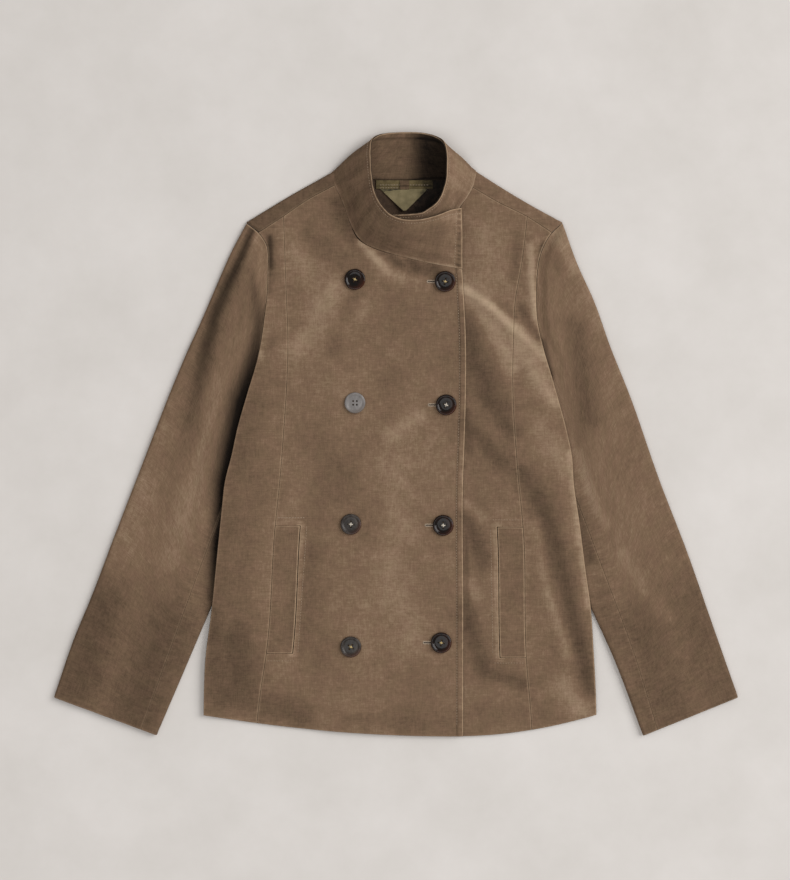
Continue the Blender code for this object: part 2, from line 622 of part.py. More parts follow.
def build_back():
    """Back with the shoulder pieces that fold over to the front."""
    right = shoulder_profiles(RIGHT_SHOULDER[::-1], yoke_points(RIGHT_YOKE)[::-1], over_front_height)
    left = shoulder_profiles(LEFT_SHOULDER, yoke_points(LEFT_YOKE), under_front_height)
    neck = curve_at(BACK_NECK, np.linspace(0.0, 1.0, NECK_CELLS + 1))
    top = np.concatenate([right[:, 0, :2], neck[1:-1], left[:, 0, :2]])
    columns = len(top)
    right_side = back_side(right_edge, 1.0, top[0], RIGHT_UNDERARM_Y)
    left_side = back_side(left_edge, -1.0, top[-1], LEFT_UNDERARM_Y)
    hem_x = np.linspace(right_side[0, 0], left_side[0, 0], columns)
    bottom = np.column_stack([hem_x, hem(hem_x) + BACK_INSET])
    plan = coons(bottom, top, right_side, left_side, np.array(BACK_ROWS))
    lift = back_lift(plan[..., 0], plan[..., 1])
    flat = np.concatenate([plan, lift[..., None]], axis=-1)

    flat_rows = len(BACK_ROWS) - 1
    fold_rows = right.shape[1] - 1
    first_left = columns - 1 - SHOULDER_CELLS
    folded = np.repeat(flat[-1:], fold_rows, axis=0)
    folded[:, :SHOULDER_CELLS + 1] = right[:, 1:].transpose(1, 0, 2)
    folded[:, first_left:] = left[:, 1:].transpose(1, 0, 2)
    outer = np.concatenate([flat, folded])
    keep = np.ones((outer.shape[0] - 1, columns - 1), bool)
    keep[flat_rows:, SHOULDER_CELLS:first_left] = False
    inner = np.concatenate([flat + (0.0, 0.0, BACK_CLOTH), folded])
    for first in (0, first_left):
        part = slice(first, first + SHOULDER_CELLS + 1)
        inner[flat_rows:, part] = moved(outer[flat_rows - 1:, part], BACK_CLOTH)[1:]
    return shell("back", outer, inner, VELVET, CLOTH_ROUGHNESS, keep)


def armhole_curve(edge, underarm_y, top_y, inner_top, outward):
    """Sleeve end: down the armhole to the underarm, then across under the body."""
    heights = np.linspace(top_y, underarm_y, ARMHOLE_POINTS)
    seam = np.column_stack([edge(heights), heights])
    along = np.gradient(seam, axis=0)
    along = along / np.linalg.norm(along, axis=1, keepdims=True)
    away = outward * np.column_stack([-along[:, 1], along[:, 0]])
    return np.concatenate([seam + away * ARMHOLE_GAP, [np.array(inner_top, float)]])


def sleeve_shares(upper, nose, seam):
    """Shares of the sleeve's width across one piece, on the face that shows and on the face below."""
    if upper:
        over_count, under_count = UPPER_COLUMNS
        fold = nose
        front, back = FRONT_SEAM_SHARE - seam, BACK_SEAM_SHARE - seam
    else:
        over_count, under_count = UNDER_COLUMNS
        fold = 1 - nose
        front, back = FRONT_SEAM_SHARE + seam, BACK_SEAM_SHARE + seam
    over = np.concatenate([np.linspace(front, fold[-1], over_count)[:-1], fold[::-1]])
    under = np.concatenate([fold[1:], np.linspace(fold[-1], back, under_count)[1:]])
    return over, under


def build_sleeve(name, edge, underarm_y, outer_edge, inner_edge, folds, outward):
    """Two-piece sleeve: upper piece over the outer fold, under piece over the inner fold."""
    lengths = np.linspace(0.0, 1.0, SLEEVE_SECTIONS + 1)
    arm = armhole_curve(edge, underarm_y, outer_edge[0][1] - ARMHOLE_TOP_DROP, inner_edge[0], outward)
    outer = curve_at((tuple(arm[0]),) + outer_edge[1:], lengths)
    inner = curve_at(inner_edge, lengths)
    for upper, suffix in ((True, "upper"), (False, "under")):
        sections = []
        for row, v in enumerate(lengths):
            width = np.linalg.norm(inner[row] - outer[row])
            over, under = sleeve_shares(upper, np.array(SLEEVE_NOSE) / width, SEAM_GAP / 2 / width)
            share = np.concatenate([over, under])
            plan = sleeve_plan(arm, outer_edge, inner_edge, outer[row], inner[row], share, v)
            outside = outward * (plan[:, 0] - edge(plan[:, 1]))
            tall = sleeve_height(plan[:, 0], plan[:, 1], outside, underarm_y, folds)
            from_edge = np.minimum(share, 1 - share) * width
            round_share = np.sqrt(1 - (1 - np.minimum(from_edge / SLEEVE_NOSE[-1], 1.0)) ** 2)
            sign = np.where(np.arange(len(share)) < len(over), 1.0, -1.0)
            sections.append(np.column_stack([plan, tall / 2 * (1 + sign * round_share)]))
        grid = np.array(sections)
        into = outward if upper else -outward
        shell(f"{name}_{suffix}", grid, moved(grid, into * SLEEVE_CLOTH), VELVET, CLOTH_ROUGHNESS)


def sleeve_plan(arm, outer_edge, inner_edge, outer_point, inner_point, share, v):
    """Plan points of one section, between the armhole, the cuff and the two folded edges."""
    u = share[:, None]
    start = curve_at(arm, share)
    cuff_outer = np.array(outer_edge[-1])
    cuff_inner = np.array(inner_edge[-1])
    cuff = cuff_outer + u * (cuff_inner - cuff_outer)
    across = (1 - v) * start + v * cuff
    along = (1 - u) * outer_point + u * inner_point
    corners = (1 - u) * ((1 - v) * arm[0] + v * cuff_outer) + u * ((1 - v) * arm[-1] + v * cuff_inner)
    return across + along - corners


def build_collar():
    """Stand collar as one strip whose covered end passes inside the overlapping end."""
    sections = SECTIONS_PER_COLLAR_ROW * (len(COLLAR) - 1)
    rows = np.array(COLLAR, float)
    places = np.arange(len(rows), dtype=float)
    at = np.linspace(0.0, places[-1], sections + 1)
    columns = [smooth_table(np.column_stack([places, column]), at) for column in rows.T]
    smooth = np.stack(columns, axis=-1)
    up = np.linspace(0.0, 1.0, COLLAR_ROWS)[:, None, None]
    outer = smooth[None, :, :3] * (1 - up) + smooth[None, :, 3:] * up
    outer = moved(outer, -COLLAR_BULGE * np.sin(math.pi * up))
    return shell("collar", outer, moved(outer, COLLAR_CLOTH), VELVET, CLOTH_ROUGHNESS)


def strip(name, corners, columns, rows, height, thickness, colour):
    """Flat strip over a plan rectangle."""
    low_x, high_x, low_y, high_y = corners
    plan_x, plan_y = np.meshgrid(np.linspace(low_x, high_x, columns), np.linspace(low_y, high_y, rows))
    over, under = flat_wall(plan_x, plan_y, height, thickness)
    return shell(name, over, under, colour, TRIM_ROUGHNESS)


def build_neck_trim():
    """Tape on the back neck seam, the tab across it and the folded label below it."""
    tape_base = BACK_CLOTH + SEAM_GAP

    def tape_height(x, y):
        return np.full(np.shape(x), tape_base)

    def tab_height(x, y):
        return np.full(np.shape(x), tape_base + TRIM_CLOTH + SEAM_GAP)

    strip("neck_tape", NECK_TAPE, 8, 3, tape_height, TRIM_CLOTH, TAPE_OLIVE)
    strip("hanger_tab", HANGER_TAB, 3, 4, tab_height, TRIM_CLOTH, VELVET)
    down = np.linspace(0.0, 1.0, 6)[:, None]
    across = np.linspace(0.0, 1.0, 7)[None, :]
    tip_x = LABEL_TIP[0] + LABEL_TIP_HALF_WIDTH * (2 * across - 1)
    top_x = LABEL_TOP[0][0] + (LABEL_TOP[1][0] - LABEL_TOP[0][0]) * across
    plan_x = top_x + (tip_x - top_x) * down
    plan_y = LABEL_TOP[0][1] + (LABEL_TIP[1] - LABEL_TOP[0][1]) * down + 0 * across
    lower = tape_base + LABEL_TIP_RISE * down ** 2 + 0 * across
    under = np.stack([plan_x, plan_y, lower], axis=-1)
    over = under + (0.0, 0.0, TRIM_CLOTH)
    shell("label", over, under, LABEL_OLIVE, TRIM_ROUGHNESS)


def button_mesh():
    """Four-hole button with a raised rim, its underside on Z = 0."""
    mesh = bmesh.new()
    rings = []
    for radius, height in BUTTON_PROFILE:
        ring = []
        for side in range(BUTTON_SIDES):
            turn = 2 * math.pi * side / BUTTON_SIDES
            point = Vector((radius * math.cos(turn), radius * math.sin(turn), height))
            ring.append(mesh.verts.new(point * MM))
        rings.append(ring)
    for lower, upper in zip(rings, rings[1:]):
        for side in range(BUTTON_SIDES):
            after = (side + 1) % BUTTON_SIDES
            mesh.faces.new((lower[side], lower[after], upper[after], upper[side]))
    mesh.faces.new(rings[0][::-1])
    mesh.faces.new(rings[-1])
    bmesh.ops.recalc_face_normals(mesh, faces=mesh.faces)
    blank = bpy.data.meshes.new("button_blank")
    mesh.to_mesh(blank)
    mesh.free()

    cutter_mesh = bmesh.new()
    for corner in range(4):
        turn = math.pi / 4 + corner * math.pi / 2
        place_at = Vector((math.cos(turn), math.sin(turn), 0.0)) * BUTTON_HOLE_PLACE * math.sqrt(2) / 2 * MM
        bmesh.ops.create_cone(
            cutter_mesh, cap_ends=True, segments=BUTTON_HOLE_SIDES, radius1=BUTTON_HOLE_RADIUS * MM,
            radius2=BUTTON_HOLE_RADIUS * MM, depth=4 * BUTTON_FLOOR * MM, matrix=Matrix.Translation(place_at),
        )
    cutter_data = bpy.data.meshes.new("button_holes")
    cutter_mesh.to_mesh(cutter_data)
    cutter_mesh.free()

    body = bpy.data.objects.new("button_blank", blank)
    cutter = bpy.data.objects.new("button_holes", cutter_data)
    for helper in (body, cutter):
        bpy.context.scene.collection.objects.link(helper)
    cut = body.modifiers.new("holes", "BOOLEAN")
    cut.operation = "DIFFERENCE"
    cut.object = cutter
    graph = bpy.context.evaluated_depsgraph_get()
    data = bpy.data.meshes.new_from_object(body.evaluated_get(graph))
    for helper in (body, cutter):
        bpy.data.objects.remove(helper, do_unlink=True)
    return data


def cloth_slope(x, y):
    """Slope of the overlapping front under a button, along x and along y."""
    reach = BUTTON_SLOPE_REACH
    at_x = over_front_height(np.array([x - reach, x + reach]), np.full(2, y))
    at_y = over_front_height(np.full(2, x), np.array([y - reach, y + reach]))
    return float(np.diff(at_x)[0]) / (2 * reach), float(np.diff(at_y)[0]) / (2 * reach)


def build_buttons():
    """Eight buttons, each sitting square on the overlapping front."""
    pattern = button_mesh()
    around = np.linspace(0.0, 2 * math.pi, BUTTON_RIM_POINTS, endpoint=False)
    rim_x = np.append(BUTTON_RADIUS * np.cos(around), 0.0)
    rim_y = np.append(BUTTON_RADIUS * np.sin(around), 0.0)
    for name, x, y, turn in BUTTONS:
        slope_x, slope_y = cloth_slope(x, y)
        ground = over_front_height(x + rim_x, y + rim_y) + CLOTH
        level = np.max(ground - slope_x * rim_x - slope_y * rim_y) + SEAM_GAP
        piece = place(name, pattern.copy(), HORN, HORN_ROUGHNESS)
        normal = Vector((-slope_x, -slope_y, 1.0)).normalized()
        tilt = Vector((0.0, 0.0, 1.0)).rotation_difference(normal).to_matrix().to_4x4()
        spin = Matrix.Rotation(math.radians(turn), 4, "Z")
        piece.matrix_world = Matrix.Translation(Vector((x, y, level)) * MM) @ tilt @ spin
    bpy.data.meshes.remove(pattern)


def main():
    for piece in list(bpy.data.objects):
        bpy.data.objects.remove(piece, do_unlink=True)
    build_back()
    build_fronts()
    build_sleeve("sleeve_right", right_edge, RIGHT_UNDERARM_Y, RIGHT_SLEEVE_OUTER, RIGHT_SLEEVE_INNER,
                 RIGHT_SLEEVE_FOLDS, -1.0)
    build_sleeve("sleeve_left", left_edge, LEFT_UNDERARM_Y, LEFT_SLEEVE_OUTER, LEFT_SLEEVE_INNER,
                 LEFT_SLEEVE_FOLDS, 1.0)
    build_collar()
    build_neck_trim()
    build_buttons()


main()
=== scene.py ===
"""Dress a double-breasted velvet jacket that lies flat, seen from straight above in soft studio light.

Lengths are in millimetres until a mesh is made. The wearer's right is at -X, the collar at +Y, and the
surface that the jacket lies on is Z = 0.
"""
import logging
import math
from dataclasses import dataclass, field, replace
from enum import Enum
from typing import Callable, Sequence

import bmesh
import bpy
import numpy as np
from mathutils import Matrix, Vector
from mathutils.bvhtree import BVHTree
from mathutils.kdtree import KDTree


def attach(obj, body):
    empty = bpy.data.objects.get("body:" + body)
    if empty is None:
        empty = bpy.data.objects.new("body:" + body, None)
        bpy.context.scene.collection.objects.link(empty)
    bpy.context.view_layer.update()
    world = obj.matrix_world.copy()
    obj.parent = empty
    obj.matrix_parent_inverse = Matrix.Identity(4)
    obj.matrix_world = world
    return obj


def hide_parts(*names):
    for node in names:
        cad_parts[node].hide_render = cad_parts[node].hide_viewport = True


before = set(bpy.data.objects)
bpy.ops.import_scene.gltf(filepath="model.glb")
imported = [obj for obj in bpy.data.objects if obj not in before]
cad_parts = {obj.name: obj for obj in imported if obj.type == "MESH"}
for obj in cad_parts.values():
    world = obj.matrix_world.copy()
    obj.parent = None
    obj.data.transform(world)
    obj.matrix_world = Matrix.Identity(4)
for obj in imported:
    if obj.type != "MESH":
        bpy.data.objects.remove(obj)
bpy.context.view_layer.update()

Array = np.ndarray
Seam = Callable[[Array], Array]
Height = Callable[[Array, Array], Array]
Rows = tuple[tuple[float, ...], ...]
Pair = tuple[float, float]
Triple = tuple[float, float, float]
Quad = tuple[float, float, float, float]
Material = bpy.types.Material
Piece = bpy.types.Object
Socket = bpy.types.NodeSocket

MM = 0.001
BODY = "root"
log = logging.getLogger("jacket")

# Side seam and armhole of each side: y, x
RIGHT_EDGE: Rows = (
    (-365, -231.2), (-336, -230.4), (-269, -228.1), (-208, -220.4), (-157, -215.3), (-93, -208.8),
    (-55, -204.4), (-25, -196.8), (9, -189.4), (46, -178.8), (95, -164.6), (142, -157.2), (175, -153.8),
    (198, -153.4), (214, -153.2), (226, -154.6), (236, -160.0), (242, -164.8), (247, -170.6), (254, -180.0),
)
LEFT_EDGE: Rows = (
    (-365, 240.6), (-336, 240.0), (-312, 239.3), (-258, 236.4), (-205, 232.8), (-162, 226.8), (-104, 219.4),
    (-59, 212.9), (-26, 210.6), (7, 203.8), (40, 194.9), (71, 186.0), (105, 176.0), (140, 169.0),
    (169, 168.0), (196, 169.3), (218, 173.8), (230, 179.0), (241, 186.2), (254, 199.6),
)
# Princess seam of each side: y, x
RIGHT_PRINCESS: Rows = (
    (-365, -167.8), (-348, -166.8), (-311, -162.7), (-262, -155.3), (-110, -144.6), (-55, -139.0),
    (14, -133.7), (67, -130.4), (110, -129.4), (166, -131.5), (262, -134.8), (300, -136.0),
)
LEFT_PRINCESS: Rows = (
    (-365, 163.0), (-352, 162.5), (-269, 156.0), (-111, 151.8), (-55, 146.4), (-17, 143.4), (27, 140.5),
    (71, 139.4), (115, 140.5), (160, 142.7), (205, 150.5), (261, 157.0), (300, 160.0),
)
# Front edge of the overlap: y, x
OVERLAP_EDGE: Rows = (
    (-365, 80.6), (-200, 80.6), (-55, 80.5), (-7, 82.2), (41, 83.5), (123, 83.5), (173, 80.9), (221, 78.0),
    (300, 78.0),
)
# Shoulder fold and yoke seam of each side, from the neck to the armhole: x, y
RIGHT_SHOULDER: Rows = ((-76.6, 314.0), (-121.7, 289.0), (-179.4, 254.2))
RIGHT_YOKE: Rows = ((-73.6, 298.2), (-106.0, 281.2), (-134.8, 261.5), (-164.2, 242.4))
LEFT_SHOULDER: Rows = ((95.2, 315.6), (129.4, 293.8), (163.9, 273.4), (199.3, 254.0))
LEFT_YOKE: Rows = ((92.2, 296.0), (120.0, 279.6), (157.6, 260.8), (186.6, 241.9))
# Neck seam of each front, from the yoke seam to the front edge: x, y
RIGHT_NECK: Rows = (
    (-73.6, 298.2), (-65.4, 280.9), (-58.8, 263.4), (-53.0, 247.0), (-46.1, 234.0), (-36.0, 226.6),
    (-24.1, 221.4), (3.5, 213.2), (37.9, 205.0), (82.0, 197.2),
)
LEFT_NECK: Rows = (
    (92.2, 296.0), (86.0, 285.0), (77.0, 272.0), (70.0, 258.0), (60.0, 244.5), (46.0, 234.5), (28.0, 227.0),
    (8.0, 222.0), (-20.0, 217.0), (-68.0, 211.0),
)
# Back neck seam between the shoulder folds: x, y
BACK_NECK: Rows = (
    (-76.6, 311.2), (-70.0, 309.6), (-60.0, 307.4), (-44.0, 305.9), (-14.0, 305.4), (34.0, 305.4),
    (60.0, 306.2), (78.0, 308.0), (88.0, 310.6), (95.2, 312.6),
)
# Pocket welts: lower and upper end, and share of the centre front's width
RIGHT_WELT = (-262.2, -109.2, 0.134)
LEFT_WELT = (-267.4, -110.8, 0.141)
# Sleeve edges in plan, from the shoulder or underarm to the cuff: x, y
RIGHT_SLEEVE_OUTER: Rows = (
    (-180.6, 253.6), (-198.0, 217.1), (-215.0, 178.6), (-234.4, 133.6), (-247.2, 105.7), (-311.4, -54.6),
    (-336.2, -118.7), (-365.2, -195.0), (-385.8, -244.8), (-409.8, -314.6),
)
RIGHT_SLEEVE_INNER: Rows = ((-107.0, 60.0), (-222.6, -209.6), (-251.5, -277.8), (-286.7, -360.1))
LEFT_SLEEVE_OUTER: Rows = (
    (200.2, 254.0), (217.1, 204.6), (237.1, 160.2), (257.0, 104.6), (279.2, 49.2), (315.6, -54.6),
    (349.8, -143.4), (378.7, -226.2), (409.8, -314.6),
)
LEFT_SLEEVE_INNER: Rows = ((117.6, 44.0), (234.0, -208.6), (258.8, -263.4), (296.0, -360.6))

# Soft folds, as in the solids: from x, from y, to x, to y, half width, height
RIGHT_FOLDS: Rows = (
    (-48, 233, -19, 207, 16, 1.0), (-30, 206, 56, 180, 13, -0.9), (-108, 250, -96, 196, 17, -0.8),
    (-120, 218, -108, 168, 16, 0.8), (-150, 130, -66, 62, 30, 0.7), (-104, 6, -40, -92, 28, -0.7),
    (-22, -150, -62, -318, 30, 0.8), (18, 104, 50, -66, 24, 0.7), (-128, -95, -140, -275, 22, 0.8),
    (-196, -60, -206, -220, 15, 0.8), (-184, -130, -196, -316, 13, -0.8), (-90, -352, -86, -300, 20, 0.7),
    (16, -354, 10, -290, 22, -0.5),
)
LEFT_FOLDS: Rows = (
    (84, 173, 113, 155, 15, 1.8), (113, 155, 137, 131, 15, 1.9), (137, 131, 197, 71, 15, 1.6),
    (89, 125, 113, 65, 17, -1.1), (113, 65, 125, 17, 16, -1.0), (83, 17, 119, -43, 12, -0.9),
    (89, -79, 107, -151, 12, -0.9), (89, -223, 113, -271, 12, -0.8), (101, -277, 161, -295, 11, -0.8),
    (162, -48, 179, -105, 13, -1.1), (179, -105, 193, -175, 13, -1.2), (193, -175, 217, -258, 13, -1.2),
    (217, -258, 228, -305, 12, -1.0), (200, -30, 226, -200, 9, 0.6), (161, 233, 166, 130, 11, 1.2),
    (132, -95, 138, -278, 20, 0.7), (112, 232, 122, 190, 16, 0.6),
)
RIGHT_SLEEVE_FOLDS: Rows = (
    (-178, 240, -199, 197, 11, -1.1), (-199, 197, -229, 113, 13, -1.3), (-229, 113, -241, 17, 14, -1.2),
    (-241, 17, -240, -79, 14, -0.9), (-205, 125, -259, -199, 20, 0.7), (-300, -120, -342, -240, 20, 0.6),
    (-330, -250, -300, -330, 18, -0.7),
)
LEFT_SLEEVE_FOLDS: Rows = (
    (197, 161, 215, 17, 13, -1.1), (194, 233, 206, 192, 11, 0.8), (236, 60, 262, -80, 20, 0.7),
    (300, -140, 340, -250, 20, 0.6), (280, -180, 300, -300, 16, -0.7),
)
# Narrower creases that only the dressed cloth has: from x, from y, to x, to y, half width, height
RIGHT_CREASES: Rows = (
    (-47, 232, -22, 210, 6, 0.6), (-20, 212, 20, 196, 6, -0.4), (-142, 236, -139, 196, 6, 0.7),
    (-150, 116, -118, 100, 6, 0.4), (-150, 96, -126, 84, 5, -0.4), (-126, 168, -92, 140, 8, -0.35),
    (-118, 108, -84, 132, 9, 0.4), (-62, 150, -86, 20, 12, -0.4), (-100, -120, -112, -250, 9, -0.5),
    (-8, -30, 8, -110, 18, 0.4), (-14, -270, -60, -330, 10, 0.35), (-220, -320, -120, -342, 7, -0.4),
    (-176, -30, -190, -120, 8, 0.4), (40, -20, 30, -100, 10, -0.3), (46, 150, 54, 60, 9, -0.35),
    (-20, 60, 30, 20, 12, -0.3),
)
LEFT_CREASES: Rows = (
    (84, 172, 112, 156, 6, 0.8), (112, 156, 150, 118, 6, 0.7), (150, 118, 192, 84, 8, 0.5),
    (142, 100, 176, 60, 7, 0.6), (120, 96, 138, 40, 9, 0.5), (96, 60, 104, 20, 6, -0.5),
    (90, -10, 128, -70, 7, 0.5), (86, -96, 100, -140, 6, 0.5), (90, -190, 104, -240, 6, 0.5),
    (150, -30, 176, -110, 7, 0.5), (176, -120, 204, -240, 8, 0.6), (196, -120, 226, -260, 8, 0.5),
    (162, 230, 165, 140, 5, 0.5), (152, 140, 160, 96, 6, -0.5), (108, 226, 116, 196, 6, -0.4),
    (196, -250, 216, -320, 9, 0.6),
)
RIGHT_SLEEVE_CREASES: Rows = (
    (-176, 236, -186, 214, 5, -0.7), (-172, 210, -186, 170, 8, 0.5), (-176, 150, -196, 90, 7, 0.5),
    (-216, 40, -228, -60, 9, 0.4), (-252, -40, -280, -170, 12, 0.4), (-330, -200, -352, -290, 10, 0.4),
    (-268, -230, -300, -320, 10, 0.35), (-196, 40, -206, -20, 7, -0.4),
)
LEFT_SLEEVE_CREASES: Rows = (
    (192, 236, 204, 200, 6, 0.5), (188, 200, 196, 160, 6, -0.5), (222, -40, 250, -110, 8, 0.5),
    (262, -60, 292, -150, 10, 0.4), (292, -110, 320, -190, 9, 0.4), (320, -240, 340, -310, 10, 0.4),
    (206, 40, 214, -40, 7, 0.4), (232, 150, 262, 60, 12, 0.3),
)
# Painted light and shade on the pile: highlights on ridges, shade in troughs, painted shadows under the
# collar and beside raised edges, and darker toward the hem and cuffs: from x, from y, to x, to y, half width,
# tone
BODY_PAINTED_SHADING: Rows = (
    (-41, 227, -22, 208, 6, 0.75), (-22, 208, -10, 196, 7, 0.6), (-10, 196, 6, 187, 8, 0.4),
    (6, 187, 36, 183, 9, 0.22), (-20, 219, 2, 207, 6, -0.45), (2, 207, 24, 200, 8, -0.5),
    (24, 200, 50, 196, 8, -0.45), (4, 213, 17, 198, 3, 0.3), (-56, 246, -38, 226, 13, -0.4),
    (-68, 276, -56, 246, 13, -0.4), (-104, 232, -62, 210, 14, -0.22), (-116, 222, -90, 186, 16, 0.2),
    (-110, 120, -72, 177, 13, 0.36), (-47, 165, -76, 98, 9, -0.26), (8, 150, 30, 76, 28, -0.1),
    (-116, 106, -88, 128, 11, 0.22), (-150, 108, -112, 134, 9, -0.2), (-62, 128, -40, 150, 12, 0.25),
    (26, 20, -8, -2, 10, 0.36), (-10, 60, 20, 84, 14, -0.15), (-102, -140, -116, -252, 13, -0.25),
    (-8, -40, 6, -110, 24, 0.22), (-4, -150, 16, -250, 22, 0.18), (-216, -306, -116, -334, 16, -0.4),
    (-222, -210, -208, -318, 18, -0.42), (-186, 30, -212, -230, 32, -0.24),
    (-196, -245, -186, -305, 30, -0.42), (-60, -40, -100, -100, 20, -0.14), (-151, 236, -150, 200, 4, -0.9),
    (-150, 200, -152, 170, 4, -0.35), (-60, -340, 60, -345, 12, -0.2), (-164, 97, -161, 92, 4, 0.35),
    (-70, -300, -110, -250, 26, -0.12), (81, 175, 113, 154, 5.5, 0.8), (113, 154, 142, 127, 6, 0.8),
    (142, 127, 180, 92, 7, 0.6), (92, 157, 114, 128, 10, 0.4), (114, 128, 140, 82, 11, 0.42),
    (146, 106, 172, 66, 12, 0.4), (164, 74, 190, 38, 9, 0.5), (86, 142, 93, 92, 13, -0.4),
    (93, 92, 112, 42, 16, -0.42), (112, 42, 138, 5, 14, -0.36), (120, 160, 141, 142, 6, -0.35),
    (150, 150, 172, 116, 7, -0.4), (160, 224, 163, 180, 4.5, 0.5), (163, 180, 168, 136, 5, 0.6),
    (176, 228, 170, 200, 2.6, -0.75), (170, 200, 168, 174, 2.4, -0.6), (146, 236, 141, 190, 7, -0.25),
    (110, 236, 122, 196, 30, 0.14), (84, 26, 88, -20, 6, -0.45), (84, 10, 126, -27, 12, -0.34),
    (126, -27, 150, -48, 13, -0.32), (84, -84, 100, -100, 8, 0.3), (84, -100, 104, -155, 10, -0.4),
    (84, -176, 97, -192, 8, 0.28), (84, -120, 85, -230, 4, -0.45), (84, -212, 92, -250, 10, -0.42),
    (92, -250, 106, -284, 10, -0.42), (106, -284, 152, -300, 9, -0.36), (150, -44, 182, -105, 15, -0.42),
    (182, -105, 203, -170, 15, -0.42), (203, -170, 222, -250, 13, -0.45), (222, -250, 231, -305, 10, -0.42),
    (168, -105, 180, -185, 6, 0.28), (180, -185, 207, -264, 6, 0.42), (207, -22, 217, -104, 4, 0.5),
    (217, -104, 230, -205, 4, 0.45), (172, 8, 200, -34, 15, 0.22), (200, -300, 222, -332, 14, 0.36),
    (100, -330, 180, -336, 14, -0.15),
)
# Painted light and shade on the sleeves, in the same columns
SLEEVE_PAINTED_SHADING: Rows = (
    (-168, 236, -182, 206, 5, 0.25), (-218, -130, -228, -196, 14, -0.25), (-186, 200, -196, 120, 10, -0.06),
    (-214, 60, -268, -150, 14, 0.22), (-300, -60, -330, -160, 20, 0.14), (-352, -200, -384, -300, 40, -0.5),
    (-270, -230, -310, -330, 44, -0.5), (-300, 20, -350, -120, 10, -0.15), (176, 214, 196, 206, 10, -0.15),
    (214, 130, 232, 20, 15, -0.34), (193, 240, 214, 196, 8, 0.3), (222, 200, 244, 130, 14, 0.15),
    (217, -24, 236, -80, 7, 0.32), (236, -80, 250, -110, 7, 0.25), (271, -142, 298, -188, 9, 0.25),
    (310, -200, 330, -222, 8, 0.15), (217, -82, 232, -150, 7, -0.45), (290, -230, 330, -340, 46, -0.36),
    (350, -200, 394, -310, 40, -0.34), (176, 112, 186, 70, 4, -0.6), (186, 60, 196, 20, 5, 0.3),
)

# Two long shadows on the wearer's right sleeve, along its outer fold and beside the body:
# x, y, half width and tone at points down the line
OUTER_SHADOW: Rows = (
    (-172, 244, 4.5, -1.0), (-184, 214, 6, -1.05), (-202, 178, 8, -1.0), (-217, 141, 9.5, -0.95),
    (-228, 99, 11, -0.8), (-238, 55, 13, -0.55), (-250, -10, 14, -0.25), (-260, -60, 14, 0.0),
)
INNER_SHADOW: Rows = (
    (-174, 194, 5, -0.2), (-168, 163, 8, -0.5), (-163, 136, 9, -0.65), (-166, 108, 10.5, -0.92),
    (-174, 76, 13, -1.18), (-185, 38, 16, -1.34), (-197, -25, 17, -1.38), (-205, -55, 14.5, -1.33),
    (-210, -93, 11.5, -1.22), (-216, -157, 8.5, -0.95), (-224, -212, 5, -0.3),
)

# Stand collar, from the overlapping end round the back to the covered end.
# Outer face at the neck seam and at the top edge: base x, y, z, top x, y, z
COLLAR: Rows = (
    (79.8, 198.4, 8.9, 78.4, 270.0, 20.0), (60.0, 202.0, 8.9, 65.4, 266.5, 29.0),
    (38.0, 206.0, 8.9, 51.6, 260.3, 35.0), (20.0, 210.2, 8.9, 34.8, 255.0, 40.0),
    (3.5, 214.4, 8.9, 17.3, 253.0, 42.0), (-12.0, 218.8, 8.8, 3.6, 255.0, 42.5),
    (-26.0, 223.6, 8.6, -7.6, 260.3, 42.5), (-37.0, 229.0, 8.3, -14.0, 266.5, 42.5),
    (-45.4, 237.0, 7.9, -19.5, 273.5, 42.0), (-52.0, 249.0, 7.5, -24.0, 282.0, 41.5),
    (-58.2, 265.0, 7.1, -27.0, 292.0, 41.0), (-65.0, 283.0, 6.8, -28.9, 305.8, 39.0),
    (-72.4, 298.4, 6.5, -30.0, 322.0, 36.0), (-74.6, 307.0, 6.0, -30.4, 338.0, 30.0),
    (-75.0, 312.6, 4.2, -28.6, 351.0, 22.0), (-70.0, 311.6, 2.2, -22.0, 357.6, 15.0),
    (-60.0, 308.8, 1.0, -12.0, 360.2, 11.5), (-44.0, 306.8, 0.5, -2.0, 361.0, 10.2),
    (-14.0, 306.0, 0.4, 10.0, 361.5, 9.8), (34.0, 306.0, 0.4, 24.0, 361.3, 10.0),
    (60.0, 306.9, 0.5, 36.0, 360.0, 11.2), (78.0, 309.2, 1.0, 47.0, 356.8, 14.6),
    (88.6, 312.4, 2.2, 55.0, 351.4, 21.0), (93.8, 314.2, 4.0, 59.0, 343.0, 28.0),
    (93.4, 308.0, 5.6, 60.4, 330.0, 34.0), (91.0, 296.6, 5.6, 60.4, 315.0, 37.6),
    (84.6, 285.0, 5.2, 59.6, 301.0, 38.6), (75.6, 272.2, 4.8, 56.5, 289.2, 38.0),
    (68.6, 258.6, 4.5, 53.4, 281.8, 37.0), (58.8, 245.4, 4.4, 48.0, 274.0, 36.0),
    (45.2, 235.6, 4.4, 39.2, 267.2, 34.0), (27.6, 228.1, 4.4, 29.6, 262.2, 33.0),
    (8.0, 223.1, 4.4, 12.0, 260.6, 32.0), (-8.0, 220.4, 4.4, -4.0, 260.4, 31.5),
)

# Places from a rolled edge at which its rounding is drawn, and the points along a run of a seam
ROLL_PLACES = (0.0, 0.3, 0.7, 1.2, 2.0, 3.2)
RUN_POINTS = 24
CURVE_SAMPLES = 48
WAVE_COUNT = 8
# Least size of a wave as a share of its usual length, and how much more it may have
WAVE_SIZES = (0.7, 0.9)
# Strokes of one sign that meet are joined with this power, so that a joint does not stand out
JOIN_POWER = 8
# Distances from an edge between which its wear fades out
WEAR_FADE = (2.0, 5.0)
# Heights of the two sizes of slight waves that lie under the creases
CRUMPLE_RISES = (0.3, 0.12)


